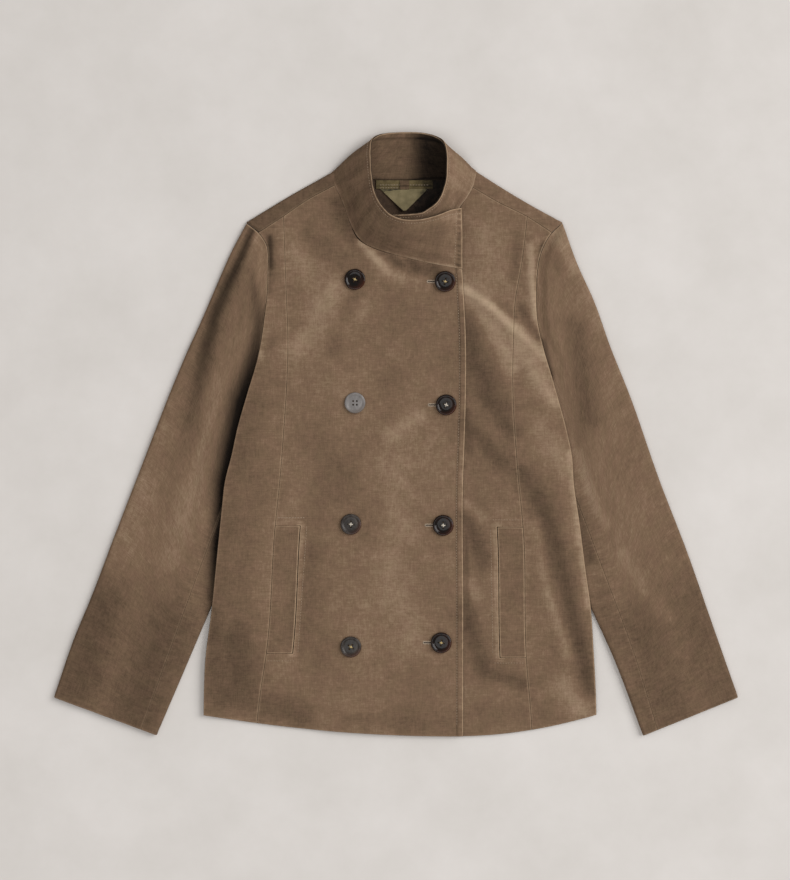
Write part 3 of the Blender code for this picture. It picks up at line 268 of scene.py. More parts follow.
class Side(Enum):
    """The wearer's side, with the sign of X on it."""

    RIGHT = -1.0
    LEFT = 1.0

    @property
    def half(self) -> "Half":
        """Cut and creases of this side."""
        return HALVES[self]


class ButtonTone(Enum):
    """How a horn button reads: near black, smoky, or pale grey."""

    DARK = "dark"
    SMOKY = "smoky"
    PALE = "pale"


class ThreadStyle(Enum):
    """The thread that a button is sewn on with, or none that shows."""

    BARE = "bare"
    GOLD = "gold"
    PALE = "pale"


class Pile(Enum):
    """Which face of a wall shows the pile."""

    OUTSIDE = "outside"
    BOTH = "both"


def linear(hex_colour: str) -> Quad:
    """Turn an sRGB hex colour to linear.

    Args:
        hex_colour: Six hex digits.

    Returns:
        Linear red, green, blue and an alpha of 1.
    """
    parts = [int(hex_colour[place:place + 2], 16) / 255 for place in (0, 2, 4)]
    red, green, blue = [p / 12.92 if p <= 0.04045 else ((p + 0.055) / 1.055) ** 2.4 for p in parts]
    return red, green, blue, 1.0


def feed(node: bpy.types.Node, inputs: dict | Sequence) -> None:
    """Set the inputs of a node.

    Args:
        node: Node of a tree.
        inputs: Socket name or number to a value, or to the output socket that it is linked from. Values
            alone are for the sockets in their order.
    """
    for key, value in inputs.items() if isinstance(inputs, dict) else enumerate(inputs):
        if isinstance(value, Socket):
            node.id_data.links.new(value, node.inputs[key])
        else:
            node.inputs[key].default_value = value


def smoothstep(low: float, high: float, value: Array) -> Array:
    """Ease values from 0 at low and below to 1 at high and above."""
    share = np.clip((np.asarray(value, float) - low) / (high - low), 0.0, 1.0)
    return share * share * (3.0 - 2.0 * share)


def bell(distance: Array, width: float) -> Array:
    """Fall softly from 1 at no distance to about a third at the width."""
    return np.exp(-(distance / width) ** 2)


def unit(vectors: Array) -> Array:
    """Give vectors along the last axis a length of 1."""
    return vectors / np.linalg.norm(vectors, axis=-1, keepdims=True)


def run_length(points: Array) -> Array:
    """Way along a line from its first point to each of its points."""
    return np.concatenate([[0.0], np.cumsum(np.linalg.norm(np.diff(points, axis=0), axis=1))])


@dataclass(frozen=True)
class SmoothTable:
    """A cubic curve through a short table of places and values."""

    rows: Rows

    def __call__(self, at: Array) -> Array:
        """Values of the curve.

        Args:
            at: Places along the table's first column.

        Returns:
            Values of its second column there.
        """
        keys, values = np.array(self.rows, float).T
        slopes = np.gradient(values, keys)
        at = np.clip(np.asarray(at, float), keys[0], keys[-1])
        low = np.clip(np.searchsorted(keys, at) - 1, 0, len(keys) - 2)
        span = keys[low + 1] - keys[low]
        t = (at - keys[low]) / span
        start = (1 + 2 * t) * (1 - t) ** 2 * values[low] + t * (1 - t) ** 2 * span * slopes[low]
        end = t * t * (3 - 2 * t) * values[low + 1] + t * t * (t - 1) * span * slopes[low + 1]
        return start + end


def curve_at(points: Sequence[Sequence[float]], share: Array) -> Array:
    """Points of a smooth curve.

    Args:
        points: Points that the curve runs through.
        share: Shares of its length.

    Returns:
        One point for each share.
    """
    points = np.array(points, float)
    along = run_length(points)
    columns = [SmoothTable(tuple(zip(along / along[-1], column)))(share) for column in points.T]
    return np.stack(columns, axis=-1)


def to_run(start: Array, step: Array, x: Array, y: Array) -> tuple[Array, Array]:
    """Shares of a straight run at its points nearest to places in plan, and the distances there."""
    share = np.clip(((x - start[0]) * step[0] + (y - start[1]) * step[1]) / step.dot(step), 0.0, 1.0)
    return share, np.hypot(x - start[0] - share * step[0], y - start[1] - share * step[1])


def strokes(table: Rows, x: Array, y: Array) -> Array:
    """Soft ridges and troughs, each along its own line.

    Args:
        table: Rows of from x, from y, to x, to y, half width and height.
        x, y: Places in plan.

    Returns:
        Height at each place.
    """
    ridges, troughs = np.zeros((2, *np.broadcast(x, y).shape))
    for *ends, half_width, height in table:
        start, end = np.array(ends, float).reshape(2, 2)
        _, away = to_run(start, end - start, x, y)
        into = ridges if height > 0 else troughs
        into += (abs(height) * bell(away, half_width)) ** JOIN_POWER
    return ridges ** (1 / JOIN_POWER) - troughs ** (1 / JOIN_POWER)


def soft_line(points: Rows, x: Array, y: Array) -> Array:
    """One soft ridge or trough down a bent line, its width and height changing evenly on the way.

    Args:
        points: Rows of x, y, half width and height.
        x, y: Places in plan.

    Returns:
        Height at each place.
    """
    nearest = np.full(np.broadcast(x, y).shape, np.inf)
    height = np.zeros(nearest.shape)
    for start, stop in zip(np.array(points, float), np.array(points[1:], float)):
        step = stop - start
        share, away = to_run(start[:2], step[:2], x, y)
        away = away / (start[2] + share * step[2])
        height = np.where(away < nearest, (start[3] + share * step[3]) * bell(away, 1.0), height)
        nearest = np.minimum(away, nearest)
    return height


def soft_waves(x: Array, y: Array, length: float, seed: int) -> Array:
    """Uneven waves.

    Args:
        x, y: Places in plan.
        length: Usual length of a wave.
        seed: Number that picks the waves.

    Returns:
        Heights mostly between -1 and 1.
    """
    total = np.zeros(np.broadcast(x, y).shape)
    for turn, phase, stretch in np.random.default_rng(seed).uniform(size=(WAVE_COUNT, 3)):
        angle = 2 * math.pi * turn
        size = length * (WAVE_SIZES[0] + WAVE_SIZES[1] * stretch)
        run = (x * math.cos(angle) + y * math.sin(angle)) / size + phase
        total = total + np.sin(2 * math.pi * run)
    return total / math.sqrt(WAVE_COUNT)


def crumple(creases: Rows, x: Array, y: Array, lengths: Sequence[float], seed: int) -> Array:
    """Fine creases as listed, over slight waves of two sizes.

    Args:
        creases: Rows as strokes takes them.
        x, y: Places in plan.
        lengths: Usual lengths of the waves.
        seed: Number that picks the first waves.

    Returns:
        Height at each place.
    """
    total = strokes(creases, x, y)
    for number, (rise, length) in enumerate(zip(CRUMPLE_RISES, lengths)):
        total = total + rise * soft_waves(x, y, length, seed + number)
    return total


def spaced(length: float, step: float) -> Array:
    """Places along a length, closer together near its two ends.

    Args:
        length: Length to divide.
        step: Distance between places in the middle.

    Returns:
        Shares from 0 to 1.
    """
    near = np.array(ROLL_PLACES)
    count = max(2, round((length - 2 * near[-1]) / step) + 1)
    middle = np.linspace(near[-1], length - near[-1], count)
    return np.concatenate([near[:-1], middle, length - near[-2::-1]]) / length


def spaced_between(breaks: Sequence[float], length: float, step: float) -> Array:
    """Shares from the first break to the last, closer together near each break.

    Args:
        breaks: Shares that must be among the places.
        length: Length that a share of 1 stands for.
        step: Distance between places away from the breaks.

    Returns:
        Shares in order.
    """
    runs = [np.array([breaks[0]])]
    for start, end in zip(breaks, breaks[1:]):
        runs.append((start + (end - start) * spaced((end - start) * length, step))[1:])
    return np.concatenate(runs)


def straight_runs(corners: Sequence[Sequence[float]]) -> Array:
    """Close points along the straight runs between corners.

    Args:
        corners: Corners in plan.

    Returns:
        Points in plan.
    """
    corners = np.array(corners, float)
    places = np.arange(len(corners))
    at = np.linspace(0.0, places[-1], RUN_POINTS * places[-1] + 1)
    return np.column_stack([np.interp(at, places, column) for column in corners.T])


def normals(grid: Array) -> Array:
    """Unit normals of a grid of points, by the turn from columns to rows."""
    return unit(np.cross(np.gradient(grid, axis=1), np.gradient(grid, axis=0)))


def moved(grid: Array, distance: float | Array) -> Array:
    """Move a grid of points along its own normals."""
    return grid + distance * normals(grid)


def blend_edges(start: Array, end: Array, first: Array, last: Array, across: Array, rows: Array) -> Array:
    """Fill in a grid between two facing curves across and two along.

    Args:
        start: Points of the first row, or of the curve that it lies on for each row.
        end: Points of the last row, in the same way.
        first: Points of the first curve along.
        last: Points of the last curve along.
        across: Shares of the columns, the same in all rows or for each row.
        rows: Shares of the rows.

    Returns:
        Grid of points.
    """
    u, v = across[..., None], rows[:, None, None]
    between = (1 - v) * start + v * end
    beside = (1 - u) * first[:, None] + u * last[:, None]
    corners = (1 - u) * ((1 - v) * first[0] + v * first[-1]) + u * ((1 - v) * last[0] + v * last[-1])
    return between + beside - corners


def place_object(name: str, data: bpy.types.ID, finishes: Sequence[Material] = ()) -> Piece:
    """Put a mesh, light or camera in the scene.

    Args:
        name: Name of the object.
        data: What it shows.
        finishes: Materials of a mesh.

    Returns:
        The object.
    """
    for finish in finishes:
        data.materials.append(finish)
    piece = bpy.data.objects.new(name, data)
    bpy.context.scene.collection.objects.link(piece)
    return piece


def finish_piece(piece: Piece, node: str | None = None) -> None:
    """Fix a piece to the jacket's body and hide the solid that it stands for.

    Args:
        piece: Finished object.
        node: Solid that it replaces, if any.
    """
    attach(piece, BODY)
    if node is not None:
        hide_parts(node)
    log.info("%s: %d faces", piece.name, len(piece.data.polygons))


# Settings that several nodes share
PLUS = {"operation": "ADD"}
MINUS = {"operation": "SUBTRACT"}
TIMES = {"operation": "MULTIPLY"}
TIMES_PLUS = {"operation": "MULTIPLY_ADD"}
COLOURS = {"data_type": "RGBA"}


class Shader:
    """A new material with a Principled surface, and the nodes that feed it."""

    def __init__(self, name: str) -> None:
        """Start a material of this name."""
        self.material = bpy.data.materials.new(name)
        self.material.use_nodes = True

    def add(self, kind: str, settings: dict, inputs: dict | Sequence, output: int | str = 0,
            stops: Sequence[tuple[float, str]] = ()) -> Socket:
        """Add one node with its settings and links.

        Args:
            kind: Blender's name of the shader node, without its prefix.
            settings: Attribute name to value.
            inputs: Values and links, as for feed.
            output: Socket to hand over.
            stops: Places and hex colours of its ramp, in order.

        Returns:
            The node's output.
        """
        made = self.material.node_tree.nodes.new(f"ShaderNode{kind}")
        for name, value in settings.items():
            setattr(made, name, value)
        feed(made, inputs)
        if stops:
            elements = made.color_ramp.elements
            for place, _ in stops[1:-1]:
                elements.new(place)
            elements[0].position, elements[-1].position = stops[0][0], stops[-1][0]
            for element, (_, shade) in zip(elements, stops):
                element.color = linear(shade)
        return made.outputs[output]

    def surface(self, inputs: dict) -> Material:
        """Feed the surface and hand over the material."""
        feed(self.material.node_tree.nodes["Principled BSDF"], inputs)
        return self.material


@dataclass(frozen=True)
class Velvet:
    """Cotton velveteen with a short cut pile: matt, mottled where the nap is brush-marked, pale where it
    wears, with painted light and shade from its tone attribute.
    """

    name: str = "cotton velveteen, cut pile"
    # The darkest colour is painted shadow, and the palest pile is also where painted highlights fall
    shadow_black: str = "140e0a"
    deep: str = "4d3d30"
    ground: str = "775f4c"
    brushed_and_highlight: str = "b39a82"
    worn: str = "a98f74"
    groove: str = "2f251d"
    sheen: str = "c9b199"
    olive: Quad = (0.96, 1.0, 0.96, 1.0)
    blotch_mm: float = 60.0
    cloud_mm: float = 14.0
    mottle_mm: float = 4.5
    # The pile's own threads are 0.4 mm apart, drawn at over a millimetre so that they show
    thread_mm: float = 1.35
    slub_mm: float = 15.0
    pile_mm: float = 1.1
    pucker_mm: Pair = (30.0, 4.4)
    tint_mm: float = 19.0
    rub_mm: float = 7.0
    # Distances from an edge: where seams pucker, where the lip is rubbed pale, and the dark line of the seam
    pucker_band: Pair = (1.5, 11.0)
    rub_band: Pair = (0.7, 1.9)
    groove_band: Pair = (0.1, 0.5)
    pucker_strength: float = 0.26
    pucker_relief: float = 6.0
    # Tones of painted shade between which puckers, and then the pile's own mottling, are lost in the dark
    pucker_tones: Pair = (-0.8, -0.2)
    mottle_tones: Pair = (-1.0, -0.3)
    mottle_least: float = 0.35
    tone_share: float = 0.4

    def material(self) -> Material:
        """Make the material.

        Returns:
            Material that reads the cloth's grain, edge and tone attributes.
        """
        shader = Shader(self.name)
        add = shader.add
        grain = add("Attribute", {"attribute_name": "grain"}, (), "Vector")
        edge, tone, worn = (add("Attribute", {"attribute_name": name}, (), "Fac")
                            for name in ("edge_mm", "tone", "wear"))

        # Layers of mottling: scale, detail and weight. The last three are the threads and the pile.
        layers = (
            ((1 / self.blotch_mm,) * 3, 2.0, 0.16), ((1 / self.cloud_mm,) * 3, 3.0, 0.20),
            ((1 / self.mottle_mm,) * 3, 3.0, 0.24), ((1 / self.thread_mm, 1 / self.slub_mm, 1.0), 2.0, 0.19),
            ((1 / self.slub_mm, 1 / self.thread_mm, 1.0), 2.0, 0.19), ((1 / self.pile_mm,) * 3, 1.0, 0.16),
        )
        total: Socket | float = 0.5 - sum(weight for _, _, weight in layers) / 2
        threads: Socket | float = 0.0
        for number, (scale, detail, weight) in enumerate(layers):
            drawn = add("Mapping", {}, {"Vector": grain, "Scale": scale})
            mottle = {"Vector": drawn, "Scale": 1.0, "Detail": detail, "Roughness": 0.6}
            layer = add("TexNoise", {}, mottle, "Fac")
            total = add("Math", TIMES_PLUS, (layer, weight, total))
            if number > 2:
                threads = add("Math", PLUS, (layer, threads))
        # The tone attribute is painted light and shade; mottling and puckers fade in its darkest painted
        # shade
        calmed = add("MapRange", {}, (tone, *self.mottle_tones, self.mottle_least))
        total = add("Math", TIMES_PLUS, (add("Math", MINUS, (total, 0.5)), calmed, 0.5))
        scale = (1 / self.pucker_mm[0], 1 / self.pucker_mm[1], 1.0)
        drawn = add("Mapping", {}, {"Vector": grain, "Scale": scale})
        gathers = add("TexNoise", {}, {"Vector": drawn, "Scale": 1.0, "Detail": 1.0}, "Fac")
        sewn = add("MapRange", {}, (edge, *self.pucker_band, self.pucker_strength, 0.0))
        showing = add("Math", TIMES, (sewn, add("MapRange", {}, (tone, *self.pucker_tones))))
        puckers = add("Math", TIMES, (add("Math", MINUS, (gathers, 0.5)), showing))
        threads = add("Math", TIMES_PLUS, (puckers, self.pucker_relief, threads))
        # Puckers also shift the colour, a painted shading of their ridges and troughs, beside the tone's
        # painted light and shade
        total = add("Math", TIMES_PLUS, (tone, self.tone_share, add("Math", PLUS, (total, puckers))))

        # Ramp from the painted shadow colour through deep and ground pile to the palest pile, where painted
        # highlights also fall
        shades = (0.0, self.shadow_black), (0.22, self.deep), (0.52, self.ground), (1.0, self.brushed_and_highlight)
        piled = add("ValToRGB", {}, {"Fac": total}, "Color", shades)
        turned = add("TexNoise", {}, {"Vector": grain, "Scale": 1 / self.tint_mm, "Detail": 4.0}, "Fac")
        tinted = add("MapRange", {}, (turned, 0.35, 0.65))
        colour = add("Mix", COLOURS | {"blend_type": "MULTIPLY"}, {0: tinted, 6: piled, 7: self.olive}, 2)
        patches = add("TexNoise", {}, {"Vector": grain, "Scale": 1 / self.rub_mm, "Detail": 2.0}, "Fac")
        patchy = add("MapRange", {}, (patches, 0.3, 0.7, 0.5, 1.0))
        rubbed = add("Math", TIMES, (add("MapRange", {}, (edge, *self.rub_band, 1.0, 0.0)), patchy))
        paled = add("Math", TIMES, (rubbed, worn))
        colour = add("Mix", COLOURS, {0: paled, 6: colour, 7: linear(self.worn)}, 2)
        sunk = add("Math", TIMES, (add("MapRange", {}, (edge, *self.groove_band, 1.0, 0.0)), worn))
        return shader.surface({
            "Base Color": add("Mix", COLOURS, {0: sunk, 6: colour, 7: linear(self.groove)}, 2),
            "Roughness": add("MapRange", {}, (total, 0.2, 0.9, 0.97, 0.82)),
            "Normal": add("Bump", {}, {"Height": threads, "Strength": 0.35, "Distance": 0.35 * MM}, "Normal"),
            "Specular IOR Level": 0.12, "Sheen Weight": 0.22, "Sheen Roughness": 0.35,
            "Sheen Tint": linear(self.sheen)})


@dataclass(frozen=True)
class Woven:
    """A plain or twill weave with no pile: fine crossing threads, slightly slubbed, matt."""

    name: str
    dark: str
    light: str
    thread_mm: float = 0.9
    lustre: float = 0.1
    roughness: float = 0.85
    # Painted shadow colour at the foot of the ramp
    shadow_black: str = "0c0907"
    cloud_mm: float = 9.0
    weave_share: float = 0.45
    tone_share: float = 0.5

    def material(self) -> Material:
        """Make the material.

        Returns:
            Material that reads the cloth's grain and tone attributes.
        """
        shader = Shader(self.name)
        add = shader.add
        grain = add("Attribute", {"attribute_name": "grain"}, (), "Vector")
        uneven = {"Distortion": 1.2, "Detail": 2.0, "Detail Scale": 1.0}
        spun = {"Vector": grain, "Scale": math.pi / (10 * self.thread_mm), **uneven}
        weave = add("Math", TIMES, [add("TexWave", {"bands_direction": way}, spun, "Fac") for way in "XY"])
        cloud = add("TexNoise", {}, {"Vector": grain, "Scale": 1 / self.cloud_mm, "Detail": 4.0}, "Fac")
        mottled = add("Math", TIMES_PLUS, (weave, self.weave_share, cloud))
        # The tone attribute is painted light and shade, down to the painted shadow colour
        tone = add("Attribute", {"attribute_name": "tone"}, (), "Fac")
        toned = add("Math", TIMES_PLUS, (tone, self.tone_share, mottled))
        shades = (0.0, self.shadow_black), (0.35, self.dark), (0.95, self.light)
        return shader.surface({
            "Base Color": add("ValToRGB", {}, {"Fac": toned}, "Color", shades),
            "Normal": add("Bump", {}, {"Height": weave, "Strength": 0.4, "Distance": 0.3 * MM}, "Normal"),
            "Roughness": self.roughness, "Sheen Weight": self.lustre, "Specular IOR Level": 0.2})


@dataclass(frozen=True)
class Horn:
    """Polished buffalo horn: near black with brown streaks, which carry a painted glow on the lit side of the
    rim, and a clear gloss.
    """

    name: str
    deep: str
    streak: str
    # Colour of the painted glow on the rim
    rim: str
    streak_mm: Triple = (5.0, 5.0 / 0.3, 4.0)
    grain_mm: float = 0.7
    roughness: float = 0.08
    uneven_roughness: float = 0.06
    # Where the painted glow begins and is whole: out from the axis, and toward the lit side
    rim_mm: Pair = (6.5, 11.0)
    painted_glow_mm: Pair = (2.5, 10.5)
    painted_glow_way: Triple = (0.25, -0.97, 0.0)
    ior: float = 1.54

    def material(self) -> Material:
        """Make the material.

        Returns:
            Material in the button's own coordinates.
        """
        shader = Shader(self.name)
        add = shader.add
        place = add("TexCoord", {}, (), "Object")
        drawn = add("Mapping", {}, {"Vector": place, "Scale": [1 / (size * MM) for size in self.streak_mm]})
        streaky = {"Vector": drawn, "Scale": 1.0, "Detail": 5.0, "Distortion": 0.8}
        streaks = add("TexNoise", {}, streaky, "Fac")
        # Painted glow: the rim colour laid where the rim turns toward the light
        off_axis = add("VectorMath", TIMES, (place, (1.0, 1.0, 0.0)), "Vector")
        radius = add("VectorMath", {"operation": "LENGTH"}, (off_axis,), "Value")
        at_rim = add("MapRange", {}, (radius, *(at * MM for at in self.rim_mm), 0.03))
        toward = add("VectorMath", {"operation": "DOT_PRODUCT"}, (place, self.painted_glow_way), "Value")
        facing = add("MapRange", {}, (toward, *(at * MM for at in self.painted_glow_mm), 0.08))
        glow = add("Math", TIMES, (add("Math", TIMES, (at_rim, facing)), streaks))
        grain = {"Vector": place, "Scale": 1 / (self.grain_mm * MM), "Detail": 3.0}
        fine = add("TexNoise", {}, grain, "Fac")
        limits = 0.0, 1.0, self.roughness, self.roughness + self.uneven_roughness
        shades = (0.42, self.deep), (0.8, self.streak)
        body = add("ValToRGB", {}, {"Fac": streaks}, "Color", shades)
        return shader.surface({
            "Base Color": add("Mix", COLOURS, {0: glow, 6: body, 7: linear(self.rim)}, 2),
            "Normal": add("Bump", {}, {"Height": fine, "Strength": 0.06, "Distance": 0.05 * MM}, "Normal"),
            "Roughness": add("MapRange", {}, (fine, *limits)), "IOR": self.ior, "Specular IOR Level": 0.2})


@dataclass(frozen=True)
class Thread:
    """Spun sewing thread: two plies twisted together, softly shining."""

    name: str
    dark: str
    light: str
    ply_mm: float = 0.55

    def material(self) -> Material:
        """Make the material.

        Returns:
            Material with slanting plies.
        """
        shader = Shader(self.name)
        add = shader.add
        place = add("TexCoord", {}, (), "Object")
        spun = {"Vector": place, "Scale": math.pi / (10 * self.ply_mm * MM), "Distortion": 2.0}
        plies = add("TexWave", {"bands_direction": "DIAGONAL"}, spun, "Fac")
        shades = (0.0, self.dark), (1.0, self.light)
        return shader.surface({
            "Base Color": add("ValToRGB", {}, {"Fac": plies}, "Color", shades),
            "Normal": add("Bump", {}, {"Height": plies, "Strength": 0.5, "Distance": 0.1 * MM}, "Normal"),
            "Roughness": 0.6, "Sheen Weight": 0.2})


@dataclass(frozen=True)
class Screed:
    """Smooth pale cement floor, trowelled: almost even, with faint clouds."""

    name: str = "pale cement, trowelled"
    low: str = "cdc8c3"
    high: str = "d7d2ce"
    cloud_mm: float = 140.0

    def material(self) -> Material:
        """Make the material.

        Returns:
            Matt floor material.
        """
        shader = Shader(self.name)
        add = shader.add
        place = add("TexCoord", {}, (), "Object")
        clouded = {"Vector": place, "Scale": 1 / (self.cloud_mm * MM), "Detail": 8.0, "Roughness": 0.65}
        cloud = add("TexNoise", {}, clouded, "Fac")
        shades = (0.3, self.low), (0.7, self.high)
        return shader.surface({
            "Base Color": add("ValToRGB", {}, {"Fac": cloud}, "Color", shades), "Roughness": 0.9,
            "Specular IOR Level": 0.1})


@dataclass
class ClothWall:
    """A closed wall of cloth between a grid of outer points and a grid of inner ones, with rolled edges."""

    name: str
    outer: Array
    inner: Array
    grain: Array
    tone: Array
    wear: Array
    keep: Array | None = None
    reverse_tone: Array | None = None
    roll: float = 1.1
    roll_share: float = 0.85
    pucker: float = 0.16
    pucker_reach: float = 7.0
    pucker_length: float = 11.0
    pile: Pile = Pile.OUTSIDE

    def kept(self) -> Array:
        """Which cells of the grid are cloth."""
        rows, columns = self.outer.shape[:2]
        return np.ones((rows - 1, columns - 1), bool) if self.keep is None else self.keep

    def edge_distance(self) -> Array:
        """Measure how far each point is from the piece's nearest edge.

        Returns:
            Distances on the grid.
        """
        framed = np.pad(self.kept().astype(int), 1)
        around = framed[:-1, :-1] + framed[1:, :-1] + framed[:-1, 1:] + framed[1:, 1:]
        rim = self.outer[(around > 0) & (around < 4)]
        tree = KDTree(len(rim))
        for number, point in enumerate(rim):
            tree.insert(point, number)
        tree.balance()
        flat = [tree.find(point)[2] for point in self.outer.reshape(-1, 3)]
        return np.array(flat).reshape(self.outer.shape[:2])

    def flat_cut(self) -> tuple[Pair, float]:
        """Measure the cloth as it was cut.

        Returns:
            Width and length in metres, and the area in square metres.
        """
        across = np.linalg.norm(np.diff(self.outer, axis=1), axis=2).sum(axis=1).max()
        along = np.linalg.norm(np.diff(self.outer, axis=0), axis=2).sum(axis=0).max()
        corner = self.outer[:-1, :-1]
        far = self.outer[1:, 1:] - corner
        halves = np.cross(self.outer[:-1, 1:] - corner, far), np.cross(far, self.outer[1:, :-1] - corner)
        cells = sum(np.linalg.norm(half, axis=2) for half in halves)
        area = float((cells * self.kept()).sum() / 2)
        return (across * MM, along * MM), min(area * MM ** 2, across * along * MM ** 2)

    def faces(self) -> tuple[Array, int]:
        """Close the wall with faces over, round the rim and under.

        Returns:
            Corners of each face, numbered over both grids, and how many faces are over and round the rim.
        """
        rows, columns = self.outer.shape[:2]
        keep = self.kept()
        index = np.arange(rows * columns).reshape(rows, columns)
        below = rows * columns
        a, b, c, d = index[:-1, :-1], index[:-1, 1:], index[1:, 1:], index[1:, :-1]
        framed = np.pad(keep, 1)
        made = [np.stack([a, b, c, d], axis=-1)[keep]]
        sides = ((framed[:-2, 1:-1], a, b), (framed[1:-1, 2:], b, c), (framed[2:, 1:-1], c, d),
                 (framed[1:-1, :-2], d, a))
        for neighbour, start, end in sides:
            bare = keep & ~neighbour
            made.append(np.stack([end[bare], start[bare], start[bare] + below, end[bare] + below], axis=-1))
        outside = sum(map(len, made))
        made.append(np.stack([d, c, b, a], axis=-1)[keep] + below)
        return np.concatenate(made), outside

    def build(self, finishes: Sequence[Material]) -> Piece:
        """Make the object.

        Args:
            finishes: Materials of the pile and of the reverse.

        Returns:
            A closed mesh with grain, edge and tone attributes.
        """
        edge = self.edge_distance()
        into = self.inner - self.outer
        depth = np.linalg.norm(into, axis=2, keepdims=True)
        into = into / np.maximum(depth, 1e-9)
        near = np.clip(1 - edge / self.roll, 0.0, 1.0)
        share = self.roll_share * np.clip(2 * self.wear, 0.0, 1.0)
        pinch = (share * (1 - np.sqrt(1 - near ** 2)))[..., None] * depth / 2
        ripple = self.pucker * bell(edge, self.pucker_reach)
        ripple = ripple * soft_waves(self.grain[..., 0], self.grain[..., 1], self.pucker_length, 5)
        outer = self.outer + into * (pinch - ripple[..., None])
        inner = self.inner - into * pinch

        faces, outside = self.faces()
        used, faces = np.unique(faces, return_inverse=True)
        faces = faces.reshape(-1, 4)
        points = np.concatenate([outer.reshape(-1, 3), inner.reshape(-1, 3)])[used] * MM
        mesh = bpy.data.meshes.new(self.name)
        mesh.from_pydata(points.tolist(), [], faces.tolist())
        piece = place_object(f"{self.name}_cloth", mesh, finishes)
        reverse = np.zeros(len(faces), np.int32)
        if self.pile is Pile.OUTSIDE:
            reverse[outside:] = 1
        mesh.polygons.foreach_set("material_index", reverse)
        mesh.shade_smooth()
        grain = np.concatenate([self.grain, np.zeros((*self.grain.shape[:2], 1))], axis=-1).reshape(-1, 3)
        behind = self.tone if self.reverse_tone is None else self.reverse_tone
        values = (("edge_mm", "FLOAT", "value", np.tile(edge.ravel(), 2)),
                  ("wear", "FLOAT", "value", np.tile(self.wear.ravel(), 2)),
                  ("tone", "FLOAT", "value", np.concatenate([self.tone.ravel(), behind.ravel()])),
                  ("grain", "FLOAT_VECTOR", "vector", np.tile(grain, (2, 1))))
        for name, kind, key, column in values:
            attribute = mesh.attributes.new(name, kind, "POINT")
            attribute.data.foreach_set(key, column[used].astype(np.float32).ravel())
        solid = bmesh.new()
        solid.from_mesh(mesh)
        bmesh.ops.recalc_face_normals(solid, faces=solid.faces)
        solid.to_mesh(mesh)
        solid.free()
        return piece

    def lay(self, finishes: Sequence[Material], slot: str, rests_on: Sequence[str]) -> Piece:
        """Build the wall, log its cut and put it in its solid's place.

        Args:
            finishes: Materials of the pile and of the reverse.
            slot: Name of a material slot; not used.
            rests_on: Solids that it lies on; not used.

        Returns:
            The object.
        """
        piece = self.build(finishes)
        finish_piece(piece, self.name)
        flat, area = self.flat_cut()
        log.info("  cut %.0f x %.0f mm, %.4f square metres", flat[0] / MM, flat[1] / MM, area)
        return piece


def edge_wear(grid: Array, worn: Sequence) -> Array:
    """Say how worn a piece is near each of its edges.

    Args:
        grid: Outer points.
        worn: Wear of the first row, last row, first column and last column.

    Returns:
        Wear on the grid, nothing away from the edges.
    """
    total = np.zeros(grid.shape[:2])
    for axis in (0, 1):
        steps = np.linalg.norm(np.diff(grid, axis=axis), axis=2)
        run = np.concatenate([np.zeros_like(np.take(steps, [0], axis)), np.cumsum(steps, axis)], axis)
        for wear, away in zip(worn[2 * axis:], (run, np.take(run, [-1], axis) - run)):
            total = np.maximum(total, np.asarray(wear) * (1 - smoothstep(*WEAR_FADE, away)))
    return total


@dataclass(frozen=True)
class Half:
    """Cut and creases of one side of the jacket."""

    edge: SmoothTable
    princess: SmoothTable
    shoulder: Rows
    yoke: Rows
    neck: Rows
    welt: Triple
    sleeve_outer: Rows
    sleeve_inner: Rows
    folds: Rows
    creases: Rows
    sleeve_folds: Rows
    sleeve_creases: Rows
    underarm_y: float


HALVES = {
    Side.RIGHT: Half(
        SmoothTable(RIGHT_EDGE), SmoothTable(RIGHT_PRINCESS), RIGHT_SHOULDER, RIGHT_YOKE, RIGHT_NECK,
        RIGHT_WELT, RIGHT_SLEEVE_OUTER, RIGHT_SLEEVE_INNER, RIGHT_FOLDS, RIGHT_CREASES,
        RIGHT_SLEEVE_FOLDS, RIGHT_SLEEVE_CREASES, underarm_y=95.0),
    Side.LEFT: Half(
        SmoothTable(LEFT_EDGE), SmoothTable(LEFT_PRINCESS), LEFT_SHOULDER, LEFT_YOKE, LEFT_NECK, LEFT_WELT,
        LEFT_SLEEVE_OUTER, LEFT_SLEEVE_INNER, LEFT_FOLDS, LEFT_CREASES, LEFT_SLEEVE_FOLDS,
        LEFT_SLEEVE_CREASES, underarm_y=71.0),
}


class Plan:
    """Front edges and hem of the body in plan."""

    overlap_edge: Seam = SmoothTable(OVERLAP_EDGE)
    underlap_x: float = -68.0
    hem_low: Pair = (70.0, -361.6)
    hem_rise_right: float = 25.4 / 300.0 ** 2
    hem_rise_left: float = 26.0 / 170.0 ** 2

    @classmethod
    def underlap_edge(cls, y: Array) -> Array:
        """Straight hidden edge of the covered front."""
        return np.full(np.shape(y), cls.underlap_x)

    @classmethod
    def hem(cls, x: Array) -> Array:
        """Height of the hem line at x."""
        across = np.asarray(x, float) - cls.hem_low[0]
        return cls.hem_low[1] + np.where(across < 0, cls.hem_rise_right, cls.hem_rise_left) * across ** 2


def shifted(seam: Seam, offset: float) -> Seam:
    """Move a seam along X."""
    return lambda y: seam(y) + offset


